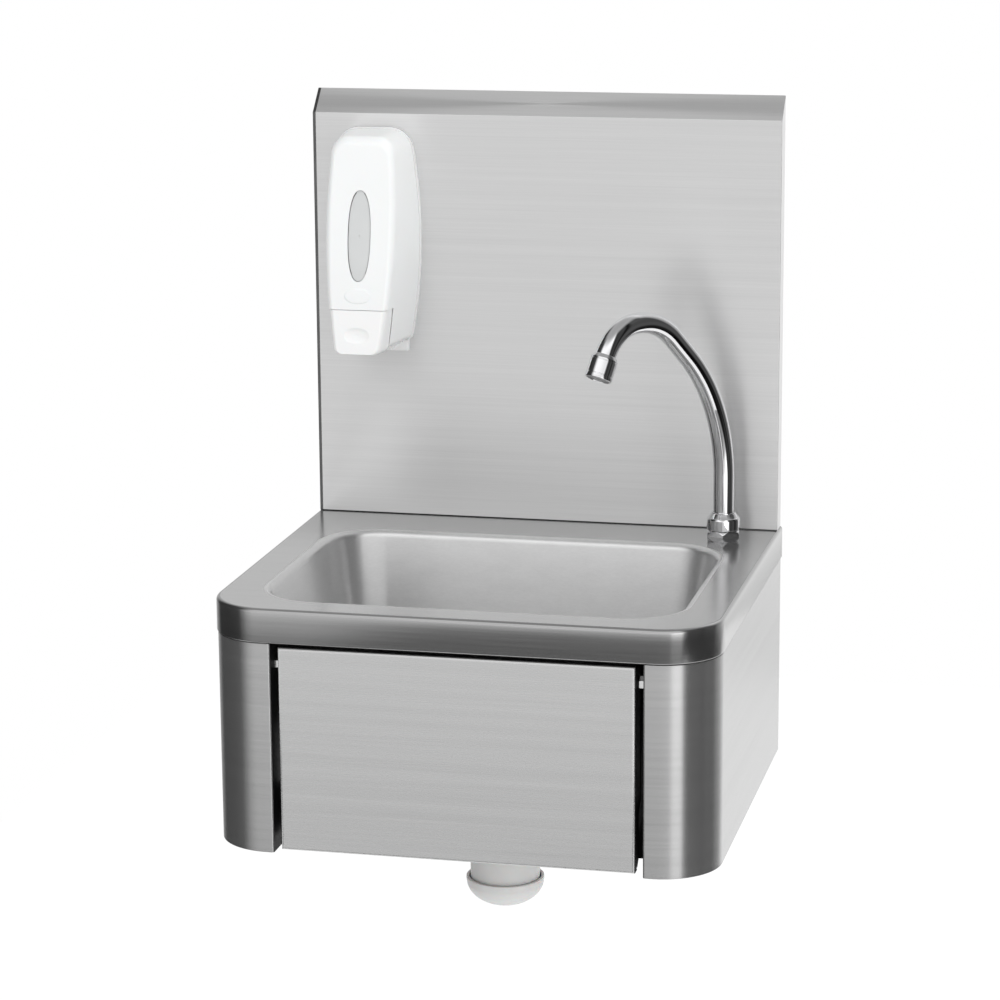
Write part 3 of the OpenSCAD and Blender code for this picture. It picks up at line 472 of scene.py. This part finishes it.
def make_bowl():
    """Bowl with a rolled lip, sloping walls, a round floor edge and a recess for the strainer."""
    # Each level is its inset from the opening, its height and the radius of its corners.
    levels = [(6 * s, -6 + 6 * c, BOWL_CORNER - 6 * s) for s, c in quarter(6)]
    for i in range(1, 9):
        t = i / 8
        levels.append((6 + 15.45 * t, -6 - 95.5 * t, 44 - 10.4 * t))
    for i in range(1, 11):
        a = math.radians(9.2 + 80.8 * i / 10)
        levels.append((55 - 34 * math.cos(a), -96 - 34 * math.sin(a), max(34 * math.cos(a), 0.6)))
    rings = []
    for inset, z, r in levels:
        outline = round_rect(BOWL_WIDE - 2 * inset, BOWL_LONG - 2 * inset, r)
        rings.append([(x, y + BOWL_Y, z) for x, y in outline])
    for r, z in ((37.6, -130), (37, -130.4), (36.6, -132.2), (36, -133), (24, -133)):
        rings.append([(x, y + WASTE_Y, z) for x, y in round_rect(2 * r, 2 * r, r)])
    add_piece("bowl_sheet", "basin", loft(rings), ["bowl"], "bowl", thick=1.1)


SPLASH_HALF = 198.5
SPLASH_SHADE_WIDTH = 2.6           # width of the painted shade line along the left edge


def splash_look(centre, normal):
    """Look of a face of the splashback: its sheet, the painted shade along the left edge, or the foot's dark
    joint line, partly painted shade.
    """
    if centre.z < (RIM + 1) * MM:
        return 2
    return int(centre.x < (SPLASH_SHADE_WIDTH - SPLASH_HALF + 0.1) * MM and abs(normal.x) < 0.5)


def make_splashback():
    """Splashback with its slanted top and folded sides."""
    side = [(-20, 0.05), (-20, 0.9), (-20, 343), (-0.9, 361.9), (-0.9, 0.05)]
    columns = (-SPLASH_HALF, SPLASH_SHADE_WIDTH - SPLASH_HALF, SPLASH_HALF)
    points = [(x, y, z) for x in columns for y, z in side]
    faces = [(i, i + 1, i + 6, i + 5) for i in (0, 1, 2, 5, 6, 7)]
    faces += [(0, 1, 2, 3, 4), (10, 11, 12, 13, 14)]
    add_piece("splash_sheet", "basin", (points, faces), ["sheet_x", "painted_edge_shade", "painted_shade_and_joint"],
              "splashback", thick=SHEET, edge=2, choose=splash_look)


RETURN_X = 145.5            # inner end of a pillar's folded return
SIDE_X = 199.2              # outer face of a side sheet


def side_look(centre, normal):
    """Look of a face of a side sheet: the pillar, its folded return painted dark as shade, or the flat side.
    """
    if abs(centre.x) < (RETURN_X + 0.1) * MM:
        return 1
    return 2 if abs(centre.x) > (SIDE_X - 0.1) * MM else 0


def make_sides():
    """Side sheets with the wall flange, the round pillar and its return."""
    plan = [(171.2, -0.02), (197.2, -0.02), (SIDE_X, -2), (SIDE_X, -150)]
    plan += arc(152, -302, 47.2, 0, -90, 26)
    plan += arc(147.5, -347.2, 2, 270, 180, 4) + [(RETURN_X, -313.2)]
    right = loft([[(x, y, z) for x, y in plan] for z in (-27.8, -110, -196)], closed=False)
    for name, shape in (("left_side", mirrored(right)), ("right_side", right)):
        add_piece(name + "_sheet", "basin", shape, ["sheet_y", "painted_shade_and_joint", "sheet_side"],
                  name, thick=SHEET, edge=0.3, sharp=40, choose=side_look)


PANEL_HALF = 139.5
PANEL_FRONT = -349.2
PANEL_FOLD = 2              # radius of the folds round the front


def panel_look(centre, normal):
    """Look of a face of the knee panel: the front, or the folds inside the gaps, painted dark as shade."""
    inside = centre.y > (PANEL_FRONT + PANEL_FOLD) * MM and abs(normal.z) > 0.9
    return 1 if inside or abs(centre.x) > (PANEL_HALF - 0.1) * MM else 0


def make_knee_panel():
    """Knee panel: a front with folds all round, and a hem along each side."""
    w, front, f = PANEL_HALF, PANEL_FRONT, PANEL_FOLD
    top = -30.4
    low = -193
    upper = front + 26      # depth of the side folds above and below their step
    lower = front + 17
    rings = []
    for s, c in quarter(5):
        y, inset = front + f - f * s, f - f * c
        rings.append([(-w + inset, y, low + inset), (-w + inset, y, top - inset),
                      (w - inset, y, top - inset), (w - inset, y, low + inset)])
    back = [(upper, top - f), (upper, -140), (lower, -150), (lower, low + 7)]
    outline = [(front + f, top - f), *back, (front + 12, low + f), (front + f, low + f)]
    shapes = [loft(rings), ([(s * w, y, z) for s in (-1, 1) for y, z in outline],
                            [tuple(range(7)), tuple(range(7, 14))])]
    for z, depth in ((top, 14), (low, 10)):
        fold = [(-w, front + f, z), (w, front + f, z), (w, front + depth, z), (-w, front + depth, z)]
        shapes.append((fold, [(0, 1, 2, 3)]))
    shapes.append((rings[-1], [(0, 1, 2, 3)]))
    for s in (-1, 1):
        hem = [(s * (w + out), y, z) for out, (y, z) in zip((2, 2, 3.4, 3.4), back)]
        hem += [(s * w, y, z) for y, z in back]
        shapes.append((hem, [(0, 1, 5, 4), (1, 2, 6, 5), (2, 3, 7, 6)]))
    add_piece("knee_panel_sheet", "knee_panel", joined(*shapes), ["sheet_panel", "painted_shade_and_joint"],
              "knee_panel", thick=SHEET, sharp=50, choose=panel_look)


# Tap and spout

TAP = (159, -58)
TAP_TURN = 8                # turns about the tap's axis, in degrees
CAP_TURN = 5.5
SPOUT_TURN = 238
SPOUT_R = 8.5
SPOUT_BENDS = [(150, 46, 25), (60, 44, 3), (38, 64, 1)]     # radius, angle, and straight run after it
HEX_ANGLES = [3.75 * i for i in range(96)]


def hexagon(flats, levels, crown=0):
    """Rings of a hexagonal bar whose radius is also limited at each height; the limits draw curved chamfers
    on its faces. Crown is the share by which its faces bulge towards the limit."""
    rings = []
    for z, limit in levels:
        ring = []
        for a in HEX_ANGLES:
            r = min(flats / 2 / math.cos(math.radians((a + 30) % 60 - 30)), limit)
            r += (limit - r) * crown
            ring.append((r * math.cos(math.radians(a)), r * math.sin(math.radians(a)), z))
        rings.append(ring)
    return rings


def round_rings(levels):
    """Round rings of radius and height that go on from a hexagon's."""
    return [[(r * math.cos(math.radians(a)), r * math.sin(math.radians(a)), z) for a in HEX_ANGLES]
            for r, z in levels]


def make_tap():
    """Tap body and cap nut."""
    place = Matrix.Translation((*TAP, 0))
    base = [(0, 13), (0.5, 13.5), (1, 13.95), (1.5, 14.35), (2, 14.7), (2.6, 15.1), (4.4, 15.1), (6.2, 15.1),
            (6.8, 14.7), (7.3, 14.35), (7.8, 13.95), (8.3, 13.5), (8.75, 13)]
    top = base[-1][0]
    body = joined(loft(hexagon(26, base) + round_rings([(12.2, top + 0.15)])),
                  lathe([(10.4, -44), (10.4, 0)]),
                  lathe([(12.2, top + 0.15), (11.8, top + 0.2), (11.8, 9.4), (9, 9.4)]))
    body = moved(body, place @ Matrix.Rotation(math.radians(TAP_TURN), 4, "Z"))
    add_piece("tap_base", "basin", body, ["chrome"], "tap_body", sharp=28)
    cap = [(9.05, 13.2), (9.3, 13.8), (9.8, 14.2), (12, 14.2), (17.8, 14.2)]
    cap += [(17.8 + 0.3 * i, 14.2 - 0.2 * i) for i in range(1, 6)]
    neck = [(12.2, 19.9), (10.4, 22.6), (9.9, 23.1), (9.9, 23.8), (9.5, 24), (8.6, 24)]
    nut = moved(loft(hexagon(25, cap, 0.75) + round_rings(neck)),
                place @ Matrix.Rotation(math.radians(CAP_TURN), 4, "Z"))
    add_piece("cap_nut_shell", "basin", nut, ["chrome"], "cap_nut", sharp=28)


def spout_line():
    """Points of the spout's centre line in its own plane, each with the angle turned from upright."""
    u, z, turned = 0.0, 5.0, 0.0
    line = [(u, z, turned)]
    z = 53.0
    line.append((u, z, turned))
    for r, angle, run in SPOUT_BENDS:
        steps = round(angle / 2)
        for i in range(steps):
            middle = math.radians(turned + angle / steps / 2)
            chord = 2 * r * math.sin(math.radians(angle / steps / 2))
            u += chord * math.sin(middle)
            z += chord * math.cos(middle)
            turned += angle / steps
            line.append((u, z, turned))
        u += run * math.sin(math.radians(turned))
        z += run * math.cos(math.radians(turned))
        line.append((u, z, turned))
    return line


def make_spout():
    """Spout and aerator housing."""
    turn = Matrix.Translation((*TAP, 0)) @ Matrix.Rotation(math.radians(SPOUT_TURN), 4, "Z")
    line = spout_line()
    rings = []
    for u, z, turned in line:
        t = math.radians(turned)
        rings.append([(u + x * math.cos(t), y, z - x * math.sin(t)) for x, y in circle(SPOUT_R, 48)])
    add_piece("spout_tube", "spout", moved(loft(rings), turn), ["chrome"], "spout", thick=1.9)
    u, z, turned = line[-1]
    mouth = turn @ Matrix.Translation((u, 0, z)) @ Matrix.Rotation(math.radians(turned), 4, "Y")
    profile = [(8.55, -1), (9.2, -1), (9.5, -0.6), (10.8, 1.7), (11, 2.2), (11, 3), (10.6, 3.2), (10.6, 3.7),
               (11, 3.9), (11, 14.6), (10.6, 14.8), (10.6, 15.4), (11, 15.6), (11, 17.9), (10.7, 18.6),
               (10.1, 19), (9.4, 19), (9.2, 18.6), (9.2, 8)]
    add_piece("aerator_shell", "spout", moved(lathe(profile), mouth), ["chrome"], "aerator",
              sharp=40)


# Soap dispenser

SOAP_X = -144
SOAP_LOW = 153.5            # height and depth of the front's lower edge
SOAP_FRONT = -93
LEAN = math.tan(math.radians(9.4))      # of the front, towards its foot
BARREL = 0.28               # how much narrower the outline gets 100 mm above and below its belly
FOOT_R = 6                  # radius of the outline's lower corners
BACK_BELLY = 242            # height at which the outline is widest, at the back and at the front
FRONT_BELLY = 258
SEAM_Z = 187.6              # the seam between the cover and the lever
SEAM_Y = -72
WINDOW_Z = 247.9
OVAL_STEPS = 64


def soap_outline(half, low, high, belly, r_high):
    """Closed barrel-shaped outline with round corners: bottom middle, right side, top and left side."""
    def wide(z):
        return half * (1 - BARREL * ((z - belly) / 100) ** 2)

    def slope(z):
        return math.atan(-half * BARREL * 2 * (z - belly) / 10000)

    z_low = low + FOOT_R
    z_high = high - r_high
    for _ in range(4):
        z_low = low + FOOT_R - FOOT_R * math.sin(slope(z_low))
        z_high = high - r_high + r_high * math.sin(-slope(z_high))
    tip_low = math.degrees(slope(z_low))
    tip_high = math.degrees(-slope(z_high))
    x_low = wide(z_low) - FOOT_R * math.cos(slope(z_low))
    x_high = wide(z_high) - r_high * math.cos(slope(z_high))
    side = [(x_low * i / 4, low) for i in range(4)]
    side += arc(x_low, low + FOOT_R, FOOT_R, -90, -tip_low, CORNER_STEPS)
    for i in range(1, 24):
        z = z_low + (z_high - z_low) * i / 24
        side.append((wide(z), z))
    side += arc(x_high, high - r_high, r_high, tip_high, 90, CORNER_STEPS)
    side += [(x_high * (1 - i / 4), high) for i in range(1, 5)]
    return side + [(-x, z) for x, z in reversed(side[1:-1])]


def front_y(z):
    """Depth of the leaning front at a height."""
    return SOAP_FRONT + LEAN * (z - SOAP_LOW)


def soap_rings(side, drop):
    """Rings of the dispenser from the wall to the front, drawn in by side and with a foot lower by drop."""
    low = SOAP_LOW - drop
    half = 37.7 - side
    outline = soap_outline(half, low, 330.6 - side, BACK_BELLY, half * 0.5)
    rings = [[(SOAP_X + x, -24.6, z) for x, z in outline]]
    # Each front ring is its distance behind the front, its half width, the lift of its foot and its top.
    front = [(11, 30.6, 0, 328.8)]
    front += [(8 * (1 - s), 30.1 - 6 * (1 - c), 1.2 * (1 - c), 328.6 - 7.6 * (1 - c)) for s, c in quarter(9)]
    for behind, half, lift, high in front:
        half -= side
        outline = soap_outline(half, low + lift, high - side, FRONT_BELLY, half * 0.5)
        rings.append([(SOAP_X + x, front_y(z) + behind, z) for x, z in outline])
    return rings


def cut(shape, point, normal, clear=True):
    """The part of a shape behind a plane, or all of it with new edges along the plane."""
    points, faces = shape
    work = bmesh.new()
    made = [work.verts.new(p) for p in points]
    for face in faces:
        work.faces.new([made[k] for k in face])
    everything = list(work.verts) + list(work.edges) + list(work.faces)
    bmesh.ops.bisect_plane(work, geom=everything, plane_co=point, plane_no=normal, dist=0.0001,
                           clear_outer=clear)
    work.verts.index_update()
    out = ([tuple(v.co) for v in work.verts], [tuple(v.index for v in face.verts) for face in work.faces])
    work.free()
    return out


def full_oval(half, tall):
    """Points round an oval with full shoulders."""
    points = []
    for i in range(OVAL_STEPS):
        a = 2 * math.pi * i / OVAL_STEPS
        u, v = math.cos(a), math.sin(a)
        points.append((math.copysign(half * abs(u) ** 0.85, u), math.copysign(tall * abs(v) ** 0.85, v)))
    return points


def oval_rings(up, half, tall, levels):
    """Rings of a full oval on the leaning front; each level is its share of the oval and how far behind the
    front it lies."""
    rings = []
    for share, behind in levels:
        rings.append([(SOAP_X + x * share, front_y(up + z * share) + behind, up + z * share)
                      for x, z in full_oval(half, tall)])
    return rings


def front_disc(ring, up, half, tall):
    """Front of the dispenser between its last ring and an oval hole."""
    hole = oval_rings(up, half, tall, [(1, 0)])[0]
    return ring + hole, tessellate_polygon([[Vector(p) for p in ring], [Vector(p) for p in hole]])


def oval_dome(up, half, tall, base, rise):
    """Low dome with an oval outline on the leaning front."""
    rings = []
    for share, height in ((1, 0), (0.97, 0.55), (0.9, 0.85), (0.75, 1), (0.4, 1.02), (0.02, 1.03)):
        ring = []
        for i in range(48):
            a = 2 * math.pi * i / 48
            z = up + tall * share * math.sin(a)
            ring.append((SOAP_X + half * share * math.cos(a), front_y(z) - base - rise * height, z))
        rings.append(ring)
    return loft(rings)


def make_soap_cover():
    """Cover above and behind the lever, with the hole for its window and a low oval dome under it."""
    rings = soap_rings(0, 0)
    shell = joined(loft(rings), front_disc(rings[-1], WINDOW_Z, 9.8, 37.2))
    shell = cut(shell, (SOAP_X, 0, SEAM_Z), (0, 0, 1), clear=False)
    points, faces = cut(shell, (SOAP_X, SEAM_Y + 0.35, 0), (0, -1, 0), clear=False)
    kept = []
    for face in faces:
        high = max(points[k][2] for k in face)
        front = min(points[k][1] for k in face)
        if high > SEAM_Z + 0.01 or (high > SOAP_LOW + 0.7 and front > SEAM_Y + 0.3):
            kept.append(face)
    cover = joined((points, kept), oval_dome(199, 11.4, 6.4, -0.1, 0.6))
    add_piece("soap_cover_shell", "soap_cover", cover, ["white"], "soap_cover", thick=0.6,
              edge=0.25, sharp=40)


def make_soap_lever():
    """Lever with a hollow for the thumb."""
    thumb = SEAM_Z - 21
    half, tall = 11, 6.5
    rings = soap_rings(1, 3.2)
    hollow = oval_rings(thumb, half, tall,
                        ((1, 0), (0.93, 0.2), (0.8, 0.6), (0.6, 1.0), (0.35, 1.25), (0.02, 1.3)))
    lever = joined(loft(rings), front_disc(rings[-1], thumb, half, tall), loft(hollow))
    lever = cut(lever, (SOAP_X, 0, SEAM_Z - 0.35), (0, 0, 1))
    lever = cut(lever, (SOAP_X, SEAM_Y, 0), (0, 1, 0))
    add_piece("soap_lever_shell", "soap_lever", lever, ["white"], "soap_lever", thick=1.6,
              edge=0.25, sharp=40)


def make_soap_window():
    """Window in the cover's front, with a darker rim painted as the shade of its recess."""
    rings = oval_rings(WINDOW_Z, 9.7, 37.1, ((1, 1.6), (1, 1.2), (0.96, 0.9), (0.7, 0.8), (0.02, 0.8)))
    add_piece("soap_window_pane", "soap_cover", loft(rings), ["window", "painted_rim_shade"],
              "soap_window", sharp=40, choose=lambda centre, normal: int(abs(normal.y) < 0.93))


def make_soap_plate():
    """Plate with round edges over the solid back plate, with a painted shade line where the cover meets it.
    """
    rings = []
    for y, half, low, high in ((-20, 38.6, 152.8, 331.6), (-20.3, 39, 152.5, 332), (-22.9, 39, 152.5, 332),
                               (-23.7, 38.7, 152.8, 331.7)):
        rings.append([(SOAP_X + x, y, z) for x, z in soap_outline(half, low, high, BACK_BELLY, 19)])
    add_piece("soap_back_plate", "basin", loft(rings, caps=True), ["white", "painted_rim_shade"],
              sharp=60, choose=lambda centre, normal: int(centre.y < -22.95 * MM and normal.y > -0.99))


# Trap and springs

OUTLET_Z = -212


def make_trap():
    """Bottle of the trap with its inlet collar and outlet branch, and the cup screwed under it."""
    place = Matrix.Translation((0, WASTE_Y, 0))
    to_wall = place @ Matrix.Translation((0, 0, OUTLET_Z)) @ Matrix.Rotation(math.radians(-90), 4, "X")
    bottle = lathe([(16.2, -179.2), (20.3, -179.2), (20.5, -179.5), (20.5, -190), (22, -190), (24, -190.3),
                    (28, -195.4), (28.5, -196.2), (28.5, -263.9), (26, -263.9), (26, -198)])
    branch = lathe([(18, 24), (18, 31.5), (20.3, 31.5), (20.5, 31.8), (20.5, 45.2), (20.2, 45.5),
                    (16.2, 45.5), (16.2, 24)])
    add_piece("trap_bottle", "basin", joined(moved(bottle, place), moved(branch, to_wall)),
              ["trap"], "trap_body", sharp=40)
    profile = [(29.7, -264), (29.7, -261.5), (31.6, -261.5), (32, -261.9), (32, -264.4), (31.6, -264.9)]
    profile += [(31.6 * c + 0.1, -264.9 - 21 * s) for s, c in quarter(18)[1:]]
    add_piece("trap_cup_shell", "basin", moved(lathe(profile), place), ["trap"], "trap_cup",
              sharp=40)


def coil(r, wire, turns, length):
    """Coil spring along Z with its ends drawn flat; wire is the wire's radius."""
    steps = 24
    rings = []
    count = round(turns * steps)
    for i in range(count + 1):
        t = i / count
        rise = wire + (length - 2 * wire) * (t * t * (3 - 2 * t) * 0.35 + t * 0.65)
        a = 2 * math.pi * i / steps
        rings.append([((r + u) * math.cos(a), (r + u) * math.sin(a), rise + v) for u, v in circle(wire, 8)])
    return loft(rings, caps=True)


def make_springs():
    """Springs of the valve and of the pump."""
    to_wall = Matrix.Rotation(math.radians(-90), 4, "X")
    valve = moved(coil(9, 0.7, 3.5, 16), Matrix.Translation((0, -341.4, -168)) @ to_wall)
    spring = add_piece("valve_spring_coil", "basin", valve, ["zinc"], "valve_spring", sharp=60)
    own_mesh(spring)
    pump = moved(coil(6, 0.4, 3, 6.6), Matrix.Translation((SOAP_X, -72.8, 163.5)) @ to_wall)
    spring = add_piece("pump_spring_coil", "basin", pump, ["zinc"], "pump_spring", sharp=60)
    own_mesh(spring)


make_deck()
make_bowl()
make_splashback()
make_sides()
make_knee_panel()
make_tap()
make_spout()
make_soap_cover()
make_soap_lever()
make_soap_window()
make_soap_plate()
make_trap()
make_springs()


# Stage, light and camera

def area_light(name, where, target, size, power):
    """Rectangular soft light that points at a target, and isn't seen in reflections; places are in metres."""
    data = bpy.data.lights.new(name, "AREA")
    data.shape = "RECTANGLE"
    data.size, data.size_y = size
    data.energy = power
    lamp = bpy.data.objects.new(name, data)
    lamp.location = where
    lamp.rotation_euler = (Vector(target) - Vector(where)).to_track_quat("-Z", "Y").to_euler()
    lamp.visible_glossy = False
    bpy.context.scene.collection.objects.link(lamp)


def ramp_node(tree, value, stops):
    """Grey ramp over a value between 0 and 1."""
    ramp = tree.nodes.new("ShaderNodeValToRGB")
    ramp.color_ramp.interpolation = "EASE"
    while len(ramp.color_ramp.elements) < len(stops):
        ramp.color_ramp.elements.new(0.5)
    for element, (place, level) in zip(ramp.color_ramp.elements, stops):
        element.position = place
        element.color = (level, level, level, 1)
    tree.links.new(value, ramp.inputs["Fac"])
    return ramp.outputs["Color"]


def make_world():
    """White where the camera looks at it, plain for matt surfaces, and a studio with dark sides in
    reflections."""
    world = bpy.data.worlds.new("studio")
    bpy.context.scene.world = world
    world.use_nodes = True
    tree = world.node_tree
    tree.nodes.clear()
    way = separate(tree, tree.nodes.new("ShaderNodeTexCoord").outputs["Generated"])
    heading = rescale(tree, worked_out(tree, "ARCTAN2", way["X"], way["Y"]), (-math.pi, math.pi))
    around = ramp_node(tree, heading, [
        (0.0, 1.2), (0.09, 1.15), (0.125, 0.85), (0.15, 0.4), (0.175, 0.06), (0.25, 0.04), (0.34, 0.04),
        (0.37, 0.35), (0.42, 0.72), (0.46, 0.72), (0.49, 1.0), (0.58, 1.0), (0.61, 0.6), (0.64, 0.4),
        (0.67, 0.08), (0.73, 0.08), (0.755, 0.01), (0.78, 0.06), (0.84, 0.04), (0.862, 0.4), (0.872, 2.4),
        (0.915, 2.4), (0.94, 1.3), (1.0, 1.2)])
    level = rescale(tree, way["Z"], (-1, 1))
    height = ramp_node(tree, level, [
        (0.0, 0.2), (0.25, 0.12), (0.30, 0.22), (0.335, 0.58), (0.355, 0.74), (0.3825, 1.0), (0.5, 1.0),
        (0.56, 0.86), (0.66, 0.86), (0.80, 1.1), (0.925, 0.9), (1.0, 0.8)])
    cap = ramp_node(tree, level, [(0.0, 2.4), (0.46, 2.4), (0.53, 1.1), (1.0, 1.1)])
    overhead = ramp_node(tree, level, [(0.0, 0), (0.84, 0), (0.96, 1), (1.0, 1)])
    calm = mixed(tree, "DARKEN", 1, around, cap)
    dome = mixed(tree, "MIX", overhead, calm, (0.5, 0.5, 0.5, 1))
    both = mixed(tree, "MULTIPLY", 1, dome, height)
    path = tree.nodes.new("ShaderNodeLightPath").outputs
    even = mixed(tree, "MIX", path["Is Diffuse Ray"], both, (0.88, 0.88, 0.88, 1))
    studio = tree.nodes.new("ShaderNodeBackground")
    tree.links.new(even, studio.inputs["Color"])
    white = tree.nodes.new("ShaderNodeBackground")
    white.inputs["Color"].default_value = (1, 1, 1, 1)
    seen = worked_out(tree, "MAXIMUM", path["Is Camera Ray"], path["Is Transmission Ray"])
    mix_shaders(tree, seen, studio.outputs["Background"], white.outputs["Background"],
                tree.nodes.new("ShaderNodeOutputWorld"))


def make_floor():
    """Pale floor under and behind the basin that keeps its soft shadow."""
    mesh = bpy.data.meshes.new("floor")
    low = -0.9
    mesh.from_pydata([(-1.3, -1.1, low), (1.3, -1.1, low), (1.3, 3, low), (-1.3, 3, low)], [], [(0, 1, 2, 3)])
    floor = bpy.data.objects.new("floor", mesh)
    bpy.context.scene.collection.objects.link(floor)
    mat, tree, shader = new_material("pale_floor")
    shader.inputs["Base Color"].default_value = (0.9, 0.9, 0.9, 1)
    shader.inputs["Roughness"].default_value = 0.9
    glow = tree.nodes.new("ShaderNodeEmission")
    glow.inputs["Strength"].default_value = 1.06
    path = tree.nodes.new("ShaderNodeLightPath").outputs
    seen = worked_out(tree, "MAXIMUM", path["Is Camera Ray"], path["Is Glossy Ray"])
    mix_shaders(tree, worked_out(tree, "MULTIPLY", seen, 0.9), shader.outputs["BSDF"],
                glow.outputs["Emission"], tree.nodes["Material Output"])
    mesh.materials.append(mat)


def make_camera():
    """Camera at the photograph's angle, without shift."""
    yaw, pitch, roll = (math.radians(a) for a in (13.01, 12.99, -0.40))
    right = Vector((math.cos(yaw), math.sin(yaw), 0))
    ahead = Vector((-math.sin(yaw) * math.cos(pitch), math.cos(yaw) * math.cos(pitch), -math.sin(pitch)))
    up = right.cross(ahead)
    turned_right = right * math.cos(roll) + up * math.sin(roll)
    turned_up = up * math.cos(roll) - right * math.sin(roll)
    data = bpy.data.cameras.new("camera")
    data.sensor_width = 36
    data.lens = 118.2
    data.clip_start = 0.1
    data.clip_end = 60
    camera = bpy.data.objects.new("camera", data)
    turn = Matrix((turned_right, turned_up, -ahead)).transposed().to_4x4()
    camera.matrix_world = Matrix.Translation(Vector((574.0, -2674.4, 644.4 + RIM)) * MM) @ turn
    bpy.context.scene.collection.objects.link(camera)
    bpy.context.scene.camera = camera


make_world()
make_floor()
make_camera()
area_light("key", (-1.3, -2.6, 1.9), (0, -0.1, 0.2), (1.6, 1.2), 8)
area_light("fill", (2.2, -1.8, 0.6), (0, -0.1, 0.2), (0.8, 1.8), 32)
area_light("top", (0.2, -0.6, 2.4), (0, -0.1, 0.1), (1.6, 1.0), 6)
bpy.context.scene.view_settings.view_transform = "Standard"
